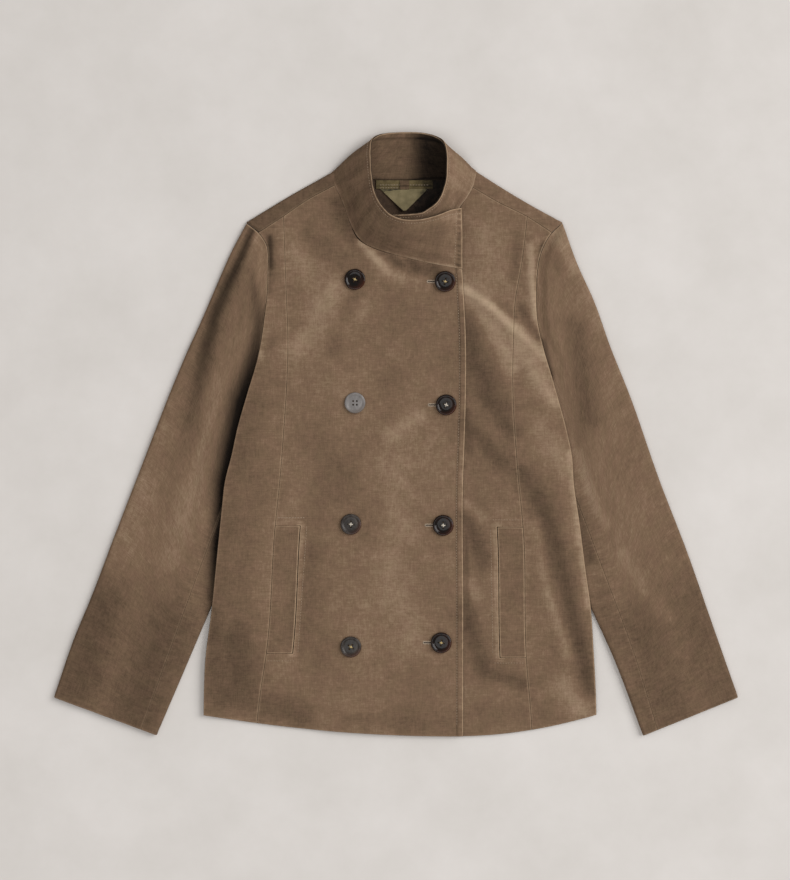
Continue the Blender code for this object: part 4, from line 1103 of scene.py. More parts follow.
@dataclass(frozen=True)
class BodySurface:
    """Heights of the layers of the body, one on another."""

    cloth: float = 1.7
    back_cloth: float = 1.6
    layer_gap: float = 0.6
    puff: float = 1.4
    covered_puff: float = 0.5
    overlap_step: float = 2.2
    # Where the overlap steps up over the covered front's edge, and where it ends below the neck
    step_x: Pair = (-108.0, -72.0)
    step_y: Pair = (222.0, 270.0)
    back_over_sleeve: float = 4.6
    lift_margin: float = 14.0
    lift_ramp_across: float = 70.0
    lift_ramp_up: float = 56.0
    side_ease: float = 20.0
    hem_ease: Pair = (-4.0, 28.0)
    stitch_inset: float = 7.8
    stitch_dent: float = 0.55
    stitch_width: float = 1.3
    neck_rise: float = 2.0
    neck_reach: float = 9.5
    # Wider rise below the collar, and how much more there is of it from one x to another
    collar_rise: Pair = (0.8, 0.7)
    collar_rise_x: Pair = (-66.0, -24.0)
    collar_reach: float = 34.0
    # Where the covered front comes into view: low down, and how it turns away between two heights
    cover_x: float = 84.0
    cover_turn: float = 40.0
    cover_y: Pair = (228.0, 292.0)
    cover_fade: float = 22.0
    crease_x: Pair = (86.0, 100.0)
    wave_lengths: Pair = (58.0, 21.0)
    calm_reach: float = 19.0

    def side_lift(self, x: Array, y: Array, side: Side) -> Array:
        """Share of the lift where one sleeve lies under the back.

        Args:
            x, y: Places in plan.
            side: The sleeve's side.

        Returns:
            Shares between 0 and 1.
        """
        first, second = np.array(side.half.sleeve_inner[:2])
        low_y = side.half.underarm_y
        underarm = np.array([float(side.half.edge(low_y)), low_y])
        seam, end = unit(first - second), unit(first - underarm)
        off_seam = -side.value * ((x - second[0]) * seam[1] - (y - second[1]) * seam[0])
        off_end = side.value * ((x - underarm[0]) * end[1] - (y - underarm[1]) * end[0])
        across = smoothstep(self.lift_margin, self.lift_margin + self.lift_ramp_across, off_seam)
        upward = smoothstep(self.lift_margin, self.lift_margin + self.lift_ramp_up, off_end)
        return (1 - across) * (1 - upward)

    def lift(self, x: Array, y: Array) -> Array:
        """How far the sleeves underneath lift the back's underside."""
        right, left = (self.side_lift(x, y, side) for side in Side)
        return self.back_over_sleeve * np.where(np.asarray(x) < 0, right, left)

    def rest(self, x: Array, y: Array) -> Array:
        """Height of the air above the back, on which the fronts lie."""
        return self.lift(x, y) + self.back_cloth + self.layer_gap

    def ease(self, x: Array, y: Array, side: Side) -> Array:
        """Share of the puff left near the side seam and the hem, whole at the armhole.

        Args:
            x, y: Places in plan.
            side: Side of the seam.

        Returns:
            Shares between 0 and 1.
        """
        low_y = side.half.underarm_y
        at_side = smoothstep(0.0, self.side_ease, side.value * (side.half.edge(y) - x))
        at_armhole = smoothstep(low_y + self.side_ease / 3, low_y + 3 * self.side_ease, y)
        return np.maximum(at_side, at_armhole) * smoothstep(*self.hem_ease, y - Plan.hem(x))

    def over(self, x: Array, y: Array) -> Array:
        """Lower face of the overlapping front and of the side panel beside it.

        Args:
            x, y: Places in plan.

        Returns:
            Heights.
        """
        step = self.overlap_step * smoothstep(*self.step_x, x) * (1 - smoothstep(*self.step_y, y))
        neck = curve_at(RIGHT_NECK, np.linspace(0.0, 1.0, CURVE_SAMPLES))
        off_x, off_y = (np.asarray(at)[..., None] - column for at, column in zip((x, y), neck.T))
        away = np.hypot(off_x, off_y).min(axis=-1)
        rise = self.collar_rise[0] + self.collar_rise[1] * smoothstep(*self.collar_rise_x, x)
        rise = rise * bell(away, self.collar_reach) + self.neck_rise * bell(away, self.neck_reach)
        puff = self.puff + strokes(RIGHT_FOLDS, x, y)
        return self.rest(x, y) + step + rise + self.ease(x, y, Side.RIGHT) * puff

    def under(self, x: Array, y: Array) -> Array:
        """Lower face of the covered front and of the side panel beside it.

        Args:
            x, y: Places in plan.

        Returns:
            Heights.
        """
        cover = self.cover_x - self.cover_turn * smoothstep(*self.cover_y, y)
        shown = smoothstep(cover, cover + self.cover_fade, x)
        puff = self.covered_puff * (1 - shown) + shown * (self.puff + strokes(LEFT_FOLDS, x, y))
        return self.rest(x, y) + self.ease(x, y, Side.LEFT) * puff

    def calm(self, x: Array, y: Array) -> Array:
        """Share of the fine creases left, none under the buttons.

        Args:
            x, y: Places in plan.

        Returns:
            Shares between 0 and 1.
        """
        share = np.ones(np.broadcast(x, y).shape)
        for button in Buttons.places:
            share = share * (1 - bell(np.hypot(x - button.x, y - button.y), self.calm_reach))
        return share

    def stitched(self, x: Array, y: Array) -> Array:
        """Nearness to the stitching along the front edge, 1 on it."""
        return bell(Plan.overlap_edge(y) - x - self.stitch_inset, self.stitch_width)

    def over_top(self, x: Array, y: Array) -> Array:
        """Upper face of the overlapping front, with creases and the dent of its stitching.

        Args:
            x, y: Places in plan.

        Returns:
            Heights.
        """
        fine = crumple(RIGHT_CREASES, x, y, self.wave_lengths, 3)
        dent = self.stitch_dent * self.stitched(x, y)
        return self.over(x, y) + self.cloth + self.ease(x, y, Side.RIGHT) * self.calm(x, y) * fine - dent

    def under_top(self, x: Array, y: Array) -> Array:
        """Upper face of the covered front, with creases where it comes into view.

        Args:
            x, y: Places in plan.

        Returns:
            Heights.
        """
        fine = crumple(LEFT_CREASES, x, y, self.wave_lengths, 6)
        start, end = self.crease_x
        shown = smoothstep(start - self.cover_turn * smoothstep(*self.cover_y, y), end, x)
        return self.under(x, y) + self.cloth + self.ease(x, y, Side.LEFT) * shown * fine


@dataclass(frozen=True)
class Panel:
    """One panel of a front in plan: its seams at the lower and the higher X, and its top edge."""

    side: Side
    left: Seam
    right: Seam
    top_edge: Array
    breaks: tuple[float, ...] = (0.0, 1.0)

    def width(self, y: Array) -> Array:
        """Width at y."""
        return self.right(y) - self.left(y)

    def share(self, x: Array, y: Array) -> Array:
        """Share of the width at which a place lies."""
        return (x - self.left(y)) / self.width(y)

    def across(self, share: Array, y: Array) -> Array:
        """Place at a share of the width."""
        return self.left(y) + self.width(y) * share


@dataclass
class Fronts:
    """Both centre fronts, the side panels beside them and the pocket welts."""

    surface: BodySurface
    finishes: Sequence[Material]
    step: float = 3.4
    usual_width: float = 218.0
    usual_y: tuple[float, float, int] = (-340, 240, 9)
    hem_tries: int = 5
    # Share of the folds' heights painted as light on their ridges and shade in their troughs
    fold_tone: float = 0.12
    notch_wear: float = 0.85
    # Painted highlight on the rolled lip round the pocket notch: strength, distance out and width
    lip_painted_highlight: float = 0.3
    lip_place: float = 3.2
    lip_width: float = 2.2
    stitch_shade: float = 0.45
    seam_gap: float = 0.14
    yoke_gap: float = 0.12
    seam_wear: float = 0.4
    hem_wear: float = 0.25
    yoke_wear: float = 0.4
    neck_wear: float = 0.03
    armhole_wear: Pair = (0.3, 0.75)
    welt_step: float = 2.2
    welt_rise: float = 0.35
    welt_shade: float = 0.2
    welt_wear: float = 0.6
    welt_right_wear: Pair = (0.45, 1.0)
    welt_left_wear: Pair = (1.0, 0.8)
    slit: float = 0.42

    def plan(self, panel: Panel, levels: Sequence[float] = ()) -> tuple[Array, Array]:
        """Lay out a panel between its seams, the hem and its top edge.

        Args:
            panel: The panel.
            levels: Y of rows that must be there.

        Returns:
            Grids of x and y.
        """
        usual = float(np.mean(panel.width(np.linspace(*self.usual_y))))
        shares = spaced_between(panel.breaks, usual, self.step)
        low = np.full(len(shares), Plan.hem_low[1])
        for _ in range(self.hem_tries):
            low = Plan.hem(panel.across(shares, low))
        edge = straight_runs(panel.top_edge)
        edge_share = panel.share(edge[:, 0], edge[:, 1])
        order = np.argsort(edge_share)
        top = np.interp(shares, edge_share[order], edge[order, 1] - self.yoke_gap)
        stops = [low, *(np.full(len(shares), level) for level in levels), top]
        rows = [low[None]]
        for start, end in zip(stops, stops[1:]):
            places = spaced(float(np.mean(end - start)), self.step)[1:, None]
            rows.append(start + (end - start) * places)
        y = np.concatenate(rows)
        return panel.across(shares, y), y

    def wall(self, name: str, side: Side, x: Array, y: Array, wear: Sequence, rise: float = 0.0) -> ClothWall:
        """Stand a wall on its plan.

        Args:
            name: Name of the piece, without its side.
            side: Side of the piece.
            x: Grid of x.
            y: Grid of y.
            wear: Wear of its first row, last row, first column and last column.
            rise: How far it stands above the front.

        Returns:
            The wall.
        """
        top = self.surface.over_top if side is Side.RIGHT else self.surface.under_top
        outer = np.stack([x, y, top(x, y) + rise], axis=-1)
        # Painted light and shade: the listed strokes, lighter ridges and darker troughs of the folds, and
        # shade along the stitching
        tone = strokes(BODY_PAINTED_SHADING, x, y) + self.fold_tone * strokes(side.half.folds, x, y)
        if side is Side.RIGHT:
            tone = tone - self.stitch_shade * self.surface.stitched(x, y)
        drop = (0.0, 0.0, self.surface.cloth)
        return ClothWall(f"{name}_{side.name.lower()}", outer, outer - drop, np.stack([x, y], axis=-1), tone,
                         edge_wear(outer, wear))

    def centre(self, panel: Panel) -> ClothWall:
        """Centre front with a notch for its pocket welt.

        Args:
            panel: Its plan.

        Returns:
            The wall.
        """
        side = panel.side
        low, high, share = side.half.welt
        x, y = self.plan(panel, (low, high))
        top_wear = np.where(side.value * (x[-1:] - side.half.yoke[0][0]) > 0, self.yoke_wear, self.neck_wear)
        columns = (self.seam_wear, 1.0) if side is Side.RIGHT else (0.0, self.seam_wear)
        wall = self.wall("front", side, x, y, (self.hem_wear, top_wear, *columns))
        middle_x, middle_y = ((grid[:-1, :-1] + grid[1:, 1:]) / 2 for grid in (x, y))
        at = panel.share(middle_x, middle_y)
        beside = at < share if side is Side.RIGHT else at > 1 - share
        wall.keep = ~((middle_y > low) & (middle_y < high) & beside)
        line = panel.share(x, y) - (share if side is Side.RIGHT else 1 - share)
        beyond = np.maximum(np.maximum(low - y, y - high), 0.0)
        away = np.hypot(np.abs(line) * panel.width(y), beyond)
        wall.wear = np.maximum(wall.wear, self.notch_wear * (1 - smoothstep(*WEAR_FADE, away)))
        # Painted highlight along the lip round the notch
        wall.tone = wall.tone + self.lip_painted_highlight * bell(away - self.lip_place, self.lip_width)
        return wall

    def welt(self, panel: Panel) -> ClothWall:
        """Pocket welt that fills the notch of a centre front.

        Args:
            panel: Plan of the centre front.

        Returns:
            The wall.
        """
        side = panel.side
        low, high, share = side.half.welt
        length = high - low - 2 * self.seam_gap
        rows = low + self.seam_gap + length * spaced(length, self.welt_step)
        shares = spaced(float(panel.width(np.array(low))) * share, self.welt_step)
        y = np.repeat(rows[:, None], len(shares), axis=1)
        width = panel.width(y) * share - self.slit
        start = panel.left(y) if side is Side.RIGHT else panel.right(y) - width
        columns = self.welt_right_wear if side is Side.RIGHT else self.welt_left_wear
        wear = (self.welt_wear, self.welt_wear, *columns)
        wall = self.wall("pocket_welt", side, start + width * shares, y, wear, self.welt_rise)
        wall.tone = wall.tone - self.welt_shade
        return wall

    def panels(self, side: Side) -> tuple[Panel, Panel]:
        """Cut one side along its princess seam.

        Args:
            side: The side.

        Returns:
            Plans of the centre front and of the side panel.
        """
        half = side.half
        inner, outer = (shifted(half.princess, way * side.value * self.seam_gap / 2) for way in (-1, 1))
        yoke = curve_at(half.yoke, np.linspace(0.0, 1.0, RUN_POINTS))
        neck = curve_at(half.neck, np.linspace(0.0, 1.0, CURVE_SAMPLES))
        if side is Side.RIGHT:
            centre = Panel(side, inner, Plan.overlap_edge, np.concatenate([yoke[::-1], neck[1:]]))
            beside = Panel(side, half.edge, outer, yoke)
        else:
            centre = Panel(side, Plan.underlap_edge, inner, np.concatenate([neck[:0:-1], yoke]))
            beside = Panel(side, outer, half.edge, yoke)
        corner = float(centre.share(*np.array(half.yoke[0])))
        if side is Side.RIGHT:
            stitched = 1.0 - self.surface.stitch_inset / self.usual_width
            return replace(centre, breaks=(0.0, half.welt[2], corner, stitched, 1.0)), beside
        return replace(centre, breaks=(0.0, corner, 1.0 - half.welt[2], 1.0)), beside

    def build(self) -> list[Piece]:
        """Build the six pieces.

        Returns:
            The objects.
        """
        made = []
        for side, edge_worn in zip(Side, self.armhole_wear):
            centre, beside = self.panels(side)
            columns = (edge_worn, self.seam_wear)
            if side is Side.LEFT:
                columns = columns[::-1]
            wear = (self.hem_wear, self.yoke_wear, *columns)
            side_front = self.wall("side_front", side, *self.plan(beside), wear)
            for wall in (self.centre(centre), self.welt(centre), side_front):
                made.append(wall.lay(self.finishes, "velvet", ["back"]))
        return made


@dataclass
class Back:
    """The back, with shoulder pieces that fold over to the front."""

    surface: BodySurface
    finishes: Sequence[Material]
    inset: float = 2.6
    armhole_inset: float = 0.7
    corner_rise: float = 28.0
    side_ease: float = 20.0
    yoke_gap: float = 0.12
    tuck: float = 2.9
    shoulder_step: float = 4.0
    neck_step: float = 4.0
    row_step: float = 6.0
    turn_degrees: tuple[float, ...] = (-90, -68, -45, -22, 0, 22, 45, 68, 90)
    flat_shares: tuple[float, ...] = (0.35, 0.6, 0.8, 0.9, 0.95, 0.98, 1.0)
    wear: tuple[float, ...] = (0.2, 0.15, 0.1, 0.1)
    # Tones of the right and left shoulder pieces, which begin at a row of the turn, and the painted shadow on
    # the inside, deepest toward +X
    shoulder_tones: Pair = (-0.4, -0.05)
    shown_row: int = 4
    inside_shade: float = -1.1
    inside_x: Pair = (-4.0, 34.0)

    def tucked(self, edge: Rows) -> Rows:
        """Carry an edge of a shoulder piece on at the neck, its first end, in under the collar."""
        first, second = np.array(edge[0]), np.array(edge[1])
        return (tuple(first + self.tuck * unit(first - second)),) + edge[1:]

    def shoulder(self, fold: Rows, yoke: Rows, top: Height, count: int) -> Array:
        """Outer points from the flat back round the shoulder fold to the yoke seam.

        Args:
            fold: Shoulder fold in plan.
            yoke: Yoke seam in plan.
            top: Height of the front's upper face.
            count: Cells along the shoulder.

        Returns:
            Points by place along the shoulder and by step round it.
        """
        shares = np.linspace(0.0, 1.0, count + 1)
        folds = curve_at(fold, shares)
        seams = curve_at(yoke, shares) + (0.0, self.yoke_gap)
        heights = top(seams[:, 0], seams[:, 1])
        profiles = []
        for at, seam, height in zip(folds, seams, heights):
            toward = unit(seam - at)
            radius = height / 2
            points = []
            for turn in map(math.radians, self.turn_degrees):
                points.append((*(at + toward * radius * (1 - math.cos(turn))), radius * (1 + math.sin(turn))))
            start = at + toward * radius
            points += [(*(start + (seam - start) * share), height) for share in self.flat_shares]
            profiles.append(points)
        return np.array(profiles)

    def side(self, side: Side, corner: Array, rows: Array) -> Array:
        """Side seam and armhole, from the hem to the shoulder.

        Args:
            side: The side.
            corner: Shoulder end in plan.
            rows: Shares of the way up.

        Returns:
            Points in plan.
        """
        low = Plan.hem_low[1] + self.corner_rise
        low_y = side.half.underarm_y
        y = low + (corner[1] - low) * rows
        at_armhole = smoothstep(low_y - 2 * self.side_ease, low_y + 2 * self.side_ease, y)
        inset = self.inset + (self.armhole_inset - self.inset) * at_armhole
        points = np.column_stack([side.half.edge(y) - side.value * inset, y])
        points[0, 1] = Plan.hem(points[0, 0]) + self.inset
        points[-1] = corner
        return points

    def build(self) -> None:
        """Build the piece."""
        length = float(np.linalg.norm(np.array(RIGHT_SHOULDER[0]) - np.array(RIGHT_SHOULDER[-1])))
        cells = round(length / self.shoulder_step)
        folds = [self.tucked(edge) for edge in (RIGHT_SHOULDER, RIGHT_YOKE, LEFT_SHOULDER, LEFT_YOKE)]
        right = self.shoulder(folds[0][::-1], folds[1][::-1], self.surface.over_top, cells)
        left = self.shoulder(folds[2], folds[3], self.surface.under_top, cells)
        across = round((BACK_NECK[-1][0] - BACK_NECK[0][0]) / self.neck_step)
        neck = curve_at(BACK_NECK, np.linspace(0.0, 1.0, across + 1))
        top = np.concatenate([right[:, 0, :2], neck[1:-1], left[:, 0, :2]])
        rows = spaced(top[0, 1] - Plan.hem_low[1], self.row_step)
        sides = self.side(Side.RIGHT, top[0], rows), self.side(Side.LEFT, top[-1], rows)
        hem_x = np.linspace(sides[0][0, 0], sides[1][0, 0], len(top))
        bottom = np.column_stack([hem_x, Plan.hem(hem_x) + self.inset])
        flat = blend_edges(bottom, top, *sides, np.linspace(0.0, 1.0, len(top)), rows)
        flat = np.concatenate([flat, self.surface.lift(flat[..., 0], flat[..., 1])[..., None]], axis=-1)

        count = len(rows) - 1
        first_left = len(top) - 1 - cells
        folded = np.repeat(flat[-1:], right.shape[1] - 1, axis=0)
        folded[:, :cells + 1] = right[:, 1:].transpose(1, 0, 2)
        folded[:, first_left:] = left[:, 1:].transpose(1, 0, 2)
        outer = np.concatenate([flat, folded])
        keep = np.ones((outer.shape[0] - 1, outer.shape[1] - 1), bool)
        keep[count:, cells:first_left] = False
        inner = outer + (0.0, 0.0, self.surface.back_cloth)
        for start in (0, first_left):
            part = slice(start, start + cells + 1)
            inner[count:, part] = moved(outer[count - 1:, part], self.surface.back_cloth)[1:]
        tone = np.zeros(outer.shape[:2])
        shown = count + self.shown_row
        tone[shown:] = np.where(outer[shown:, :, 0] < 0, *self.shoulder_tones)
        grain = outer[..., :2] + outer[..., 2:] * (0.0, 1.0)
        # Painted shadow on the inside of the back, deepest toward +X
        inside = self.inside_shade * smoothstep(*self.inside_x, outer[..., 0])
        wall = ClothWall("back", outer, inner, grain, tone, edge_wear(outer, self.wear), keep, inside)
        wall.lay(self.finishes, "velvet", ["sleeve_right_under", "sleeve_left_under"])


@dataclass
class Sleeve:
    """A two-piece sleeve that lies under the body's edge."""

    side: Side
    surface: BodySurface
    finishes: Sequence[Material]
    cloth: float = 1.6
    full: float = 7.0
    pressed: float = 4.0
    # Distances above the underarm between which the sleeve fills out to its height at the armhole
    filling: Pair = (8.0, 55.0)
    at_armhole: float = 5.3
    # Distances from the body at which it begins to rise and is full, and how much nearer that is higher up
    rising: Triple = (3.0, 27.0, 13.0)
    cap: float = 1.5
    cap_reach: float = 16.0
    join_reach: float = 9.0
    join_ramp: float = 11.0
    wave_lengths: Pair = (62.0, 22.0)
    front_seam: float = 0.85
    back_seam: float = 0.36
    seam_gap: float = 0.12
    armhole_gap: float = 0.3
    armhole_drop: float = 0.4
    armhole_points: int = 40
    nose: tuple[float, ...] = (0.0, 0.12, 0.4, 0.9, 1.6, 2.5, 3.6)
    usual_width: float = 170.0
    step: float = 2.8
    below_step: float = 9.0
    armhole_wear: Pair = (0.7, 0.35)
    wear: tuple[float, ...] = (0.25, 0.14, 0.2)
    # Shift of the grain, so that no two pieces have the same mottling
    grain_shift: Pair = (500.0, 40.0)

    def armhole(self) -> Array:
        """Sleeve end: down the armhole to the underarm, then across under the body.

        Returns:
            Points in plan.
        """
        half = self.side.half
        top_y = half.sleeve_outer[0][1] - self.armhole_drop
        heights = np.linspace(top_y, half.underarm_y, self.armhole_points)
        seam = np.column_stack([half.edge(heights), heights])
        along = unit(np.gradient(seam, axis=0))
        away = self.side.value * np.column_stack([-along[:, 1], along[:, 0]])
        return np.concatenate([seam + away * self.armhole_gap, [np.array(half.sleeve_inner[0], float)]])

    def height(self, x: Array, y: Array) -> Array:
        """Upper face: pressed under the body, full away from it, and joined to the front at the armhole.

        Args:
            x, y: Places in plan.

        Returns:
            Heights.
        """
        half = self.side.half
        edge = half.edge(y)
        outside = self.side.value * (x - edge)
        above = smoothstep(*self.filling, y - half.underarm_y)
        pressed = self.pressed + (self.at_armhole - self.pressed) * above
        cap = bell(outside - self.cap_reach, self.cap_reach)
        start, end, nearer = self.rising
        away = smoothstep(start, end - nearer * above, outside)
        relief = strokes(half.sleeve_folds, x, y) + crumple(half.sleeve_creases, x, y, self.wave_lengths, 8)
        level = pressed + (self.full + self.cap * above * cap - pressed) * away + away ** 2 * relief
        front = self.surface.over if self.side is Side.RIGHT else self.surface.under
        short = np.maximum(front(edge, y) - level, 0.0)
        above_underarm = smoothstep(0.0, self.join_ramp, y - half.underarm_y)
        return level + short * above_underarm * bell(outside, self.join_reach)

    def shares(self, upper: bool, widths: Array) -> tuple[Array, int]:
        """Shares of the width across one piece, over the face that shows and then the face below.

        Args:
            upper: Whether it is the upper piece.
            widths: Width of the flat sleeve at each row.

        Returns:
            The shares by row and column, and how many columns are on the face that shows.
        """
        way, edge = (-1.0, 0.0) if upper else (1.0, 1.0)
        nose, roll = (np.array(places) / widths[:, None] for places in (self.nose, ROLL_PLACES))
        gap = way * self.seam_gap / 2 / widths[:, None]
        fold = edge - way * nose
        start = self.front_seam + gap + way * roll
        end = self.back_seam + gap + way * roll[:, ::-1]
        shown, hidden = (
            max(3, round(abs(edge - seam) * self.usual_width / step))
            for seam, step in ((self.front_seam, self.step), (self.back_seam, self.below_step)))
        to_fold = np.linspace(start[:, -1], fold[:, -1], shown, axis=1)
        to_seam = np.linspace(fold[:, -1], end[:, 0], hidden, axis=1)
        over = (start[:, :-1], to_fold[:, :-1], fold[:, ::-1])
        under = (fold[:, 1:], to_seam[:, 1:], end[:, 1:])
        return np.concatenate(over + under, axis=1), sum(run.shape[1] for run in over)

    def build(self) -> None:
        """Build the upper and the under piece."""
        half = self.side.half
        arm = self.armhole()
        length = float(run_length(np.array(half.sleeve_outer))[-1])
        rows = spaced(length, self.step)
        outer = curve_at((tuple(arm[0]),) + half.sleeve_outer[1:], rows)
        inner = curve_at(half.sleeve_inner, rows)
        widths = np.linalg.norm(inner - outer, axis=1)
        cuff = np.array([half.sleeve_outer[-1], half.sleeve_inner[-1]])
        worn = self.armhole_wear[list(Side).index(self.side)]
        for number, suffix in enumerate(("upper", "under")):
            share, shown = self.shares(suffix == "upper", widths)
            cuff_line = cuff[0] + share[..., None] * (cuff[1] - cuff[0])
            plan = blend_edges(curve_at(arm, share), cuff_line, outer, inner, share, rows)
            x, y = plan[..., 0], plan[..., 1]
            face = np.where(np.arange(share.shape[1]) < shown, 1.0, -1.0)
            from_edge = np.minimum(share, 1 - share) * widths[:, None]
            rounded = np.sqrt(1 - (1 - np.minimum(from_edge / self.nose[-1], 1.0)) ** 2)
            level = self.height(x, y) / 2 * (1 + face * rounded)
            grid = np.concatenate([plan, level[..., None]], axis=-1)
            # Painted light and shade: the listed strokes and the two painted shadows
            tone = strokes(SLEEVE_PAINTED_SHADING, x, y) + soft_line(OUTER_SHADOW, x, y) + soft_line(INNER_SHADOW, x, y)
            run = np.broadcast_to(rows[:, None] * length, share.shape)
            shift = (self.grain_shift[0] * self.side.value, self.grain_shift[1] * number)
            grain = np.stack([face * share * widths[:, None], run], axis=-1) + shift
            into = self.side.value * (1 - 2 * number)
            wall = ClothWall(
                f"sleeve_{self.side.name.lower()}_{suffix}", grid, moved(grid, into * self.cloth), grain,
                np.where(face > 0, tone, 0.0), edge_wear(grid, (worn, *self.wear)))
            wall.lay(self.finishes, "velvet", ["floor"])


@dataclass
class StandCollar:
    """Stand collar, one strip whose covered end passes inside the overlapping end."""

    surface: BodySurface
    finishes: Sequence[Material]
    cloth: float = 2.2
    bulge: float = 1.6
    across_step: float = 1.8
    cells_per_row: int = 8
    row_pitch: float = 20.0
    end_stitch: float = 7.8
    top_stitch: float = 5.6
    stitch_row: int = 20
    dent: float = 0.3
    dent_width: float = 1.6
    # Foot: row of the collar's table and share of the way to the front's level, or reach out from the neck
    join_rows: Rows = ((12, 1.0), (13, 0.6), (14, 0.0), (23, 0.0), (24, 0.6), (25, 1.0))
    reach_rows: Rows = ((12, 1.0), (13, 2.0), (14, 2.4), (15.5, 0.0), (21.5, 0.0), (23, 2.4), (24, 2.0),
                        (25, 1.0))
    middle: Pair = (10.0, 262.0)
    middle_row: float = 13.5
    base_out: float = 1.0
    foot_sink: float = 0.1
    most_rise: float = 5.0
    most_drop: float = 1.5
    back_reach: float = 0.9
    # Part that faces the viewer has ripples, the rest swells; both are stretched along or across
    facing_x: Pair = (-30.0, 14.0)
    facing_y: float = 290.0
    wave_rise: float = 0.3
    swell: Pair = (0.4, 30.0)
    ripple: Pair = (0.2, 17.0)
    pleat: Pair = (0.12, 15.0)
    # Painted light and shade outside: darker all over, lighter between places across toward the lit end, a
    # painted highlight from the foot, shade with the waves, and the rungs of shade along the end's edge
    ground_tone: float = -0.3
    lit_toward_end: Rows = ((0.16, -40.0, 30.0), (0.25, 40.0, 70.0))
    foot_painted_highlight: Pair = (0.4, 2.2)
    wave_tone: float = 0.12
    rung_tone: float = 0.7
    rung_pitch: float = 5.2
    rung_waves: Pair = (1.5, 30.0)
    rung_place: Pair = (4.2, 2.6)
    # Painted shade inside: all over, a painted shadow deeper toward the overlapping end, shade at the foot,
    # and a dark line below the top edge
    inside_shade: float = -0.32
    inside_deep: Triple = (0.84, 8.0, 36.0)
    inside_foot: Pair = (0.8, 1.6)
    inside_line: Triple = (0.3, 7.0, 1.2)
    wear: tuple[float, ...] = (0.03, 1.0, 1.0, 0.8)
    grain_shift: Pair = (900.0, 0.0)
    outer: Array = field(init=False)

    def foot(self, points: Array, at: Array) -> Array:
        """Bring the foot of the collar to the neck seam, level with the fronts, and out over the shoulders.

        Args:
            points: Outer points of the solid's foot.
            at: Places of the columns among the collar's rows.

        Returns:
            Points of the dressed foot.
        """
        along = unit(np.gradient(points[:, :2], axis=0))
        share, reach = (np.interp(at, *zip(*rows)) for rows in (self.join_rows, self.reach_rows))
        out = self.base_out * reach[:, None] * np.column_stack([-along[:, 1], along[:, 0]])
        inward = np.sign(np.sum(out * (self.middle - points[:, :2]), axis=1, keepdims=True))
        plan = points[:, :2] - out * inward
        over, under = (top(plan[:, 0], plan[:, 1]) for top in (self.surface.over_top, self.surface.under_top))
        top = np.where(at <= self.middle_row, over, under) - self.foot_sink
        rise = share * np.clip(top - points[:, 2], -self.most_drop, self.most_rise)
        plan[:, 1] -= self.back_reach * (1 - np.minimum(reach, 1.0))
        return np.column_stack([plan, points[:, 2] + rise])

    def shade(self, high: Array, run: Array, tall: float, waves: Array) -> tuple[Array, Array]:
        """Painted light and shade of the outer and the inner face.

        Args:
            high: Distances from the foot.
            run: Distances from the overlapping end.
            tall: Height of the collar.
            waves: Ripples and pleats.

        Returns:
            Tones outside and inside, on the grid.
        """
        x = self.outer[..., 0]
        tone = self.ground_tone + self.wave_tone * waves + self.foot_painted_highlight[0] * bell(high, self.foot_painted_highlight[1])
        for rise, start, end in self.lit_toward_end:
            tone = tone + rise * smoothstep(start, end, x)
        uneven = self.rung_waves[0] * soft_waves(high, 0.0, self.rung_waves[1], 15)
        rungs = 0.5 + 0.5 * np.sin(2 * math.pi * high / self.rung_pitch + uneven)
        tone = tone - self.rung_tone * rungs * bell(run - self.rung_place[0], self.rung_place[1])
        deep, start, end = self.inside_deep
        inside = self.inside_shade - deep * smoothstep(start, end, x)
        inside = inside - self.inside_foot[0] * bell(high, self.inside_foot[1])
        line, place, width = self.inside_line
        return tone, inside - line * bell(tall - high - place, width)

    def build(self) -> None:
        """Build the collar."""
        rows = np.array(COLLAR, float)
        places = np.arange(len(rows), dtype=float)
        inside = np.linspace(0.0, places[-1], self.cells_per_row * (len(rows) - 1) + 1)
        rolled = np.array(ROLL_PLACES) / self.row_pitch
        at = np.unique(np.concatenate([inside, rolled, places[-1] - rolled]))
        smooth = np.stack([SmoothTable(tuple(zip(places, column)))(at) for column in rows.T], axis=-1)
        smooth[:, :3] = self.foot(smooth[:, :3], at)
        tall = float(np.mean(np.linalg.norm(smooth[:, 3:] - smooth[:, :3], axis=1)))
        up = spaced(tall, self.across_step)[:, None]
        grid = smooth[None, :, :3] * (1 - up[..., None]) + smooth[None, :, 3:] * up[..., None]
        high = up * tall
        run = run_length(grid[len(up) // 2])[None]
        from_top = bell(tall - high - self.top_stitch, self.dent_width)
        dents = self.dent * np.maximum(from_top, bell(run - self.end_stitch, self.dent_width))
        facing = smoothstep(*self.facing_x, grid[..., 0]) * (grid[..., 1] < self.facing_y)
        pleats = soft_waves(run, self.pleat[0] * high, self.pleat[1], 14)
        ripples = soft_waves(self.ripple[0] * run, high, self.ripple[1], 16)
        swells = soft_waves(run, self.swell[0] * high, self.swell[1], 12)
        waves = self.wave_rise * ((1 - facing) * swells + facing * ripples)
        arch = np.sin(math.pi * up)
        humps = self.bulge * arch ** 2 + waves * arch
        self.outer = moved(grid, (dents - humps)[..., None])
        grain = np.stack(np.broadcast_arrays(run, high), axis=-1) + self.grain_shift
        tone, behind = self.shade(high, run, tall, (1 - facing) * pleats + facing * ripples)
        wall = ClothWall("collar", self.outer, moved(self.outer, self.cloth), grain, tone,
                         edge_wear(self.outer, self.wear), reverse_tone=behind, pile=Pile.BOTH)
        wall.lay(self.finishes, "velvet", ["front_right", "front_left", "back"])

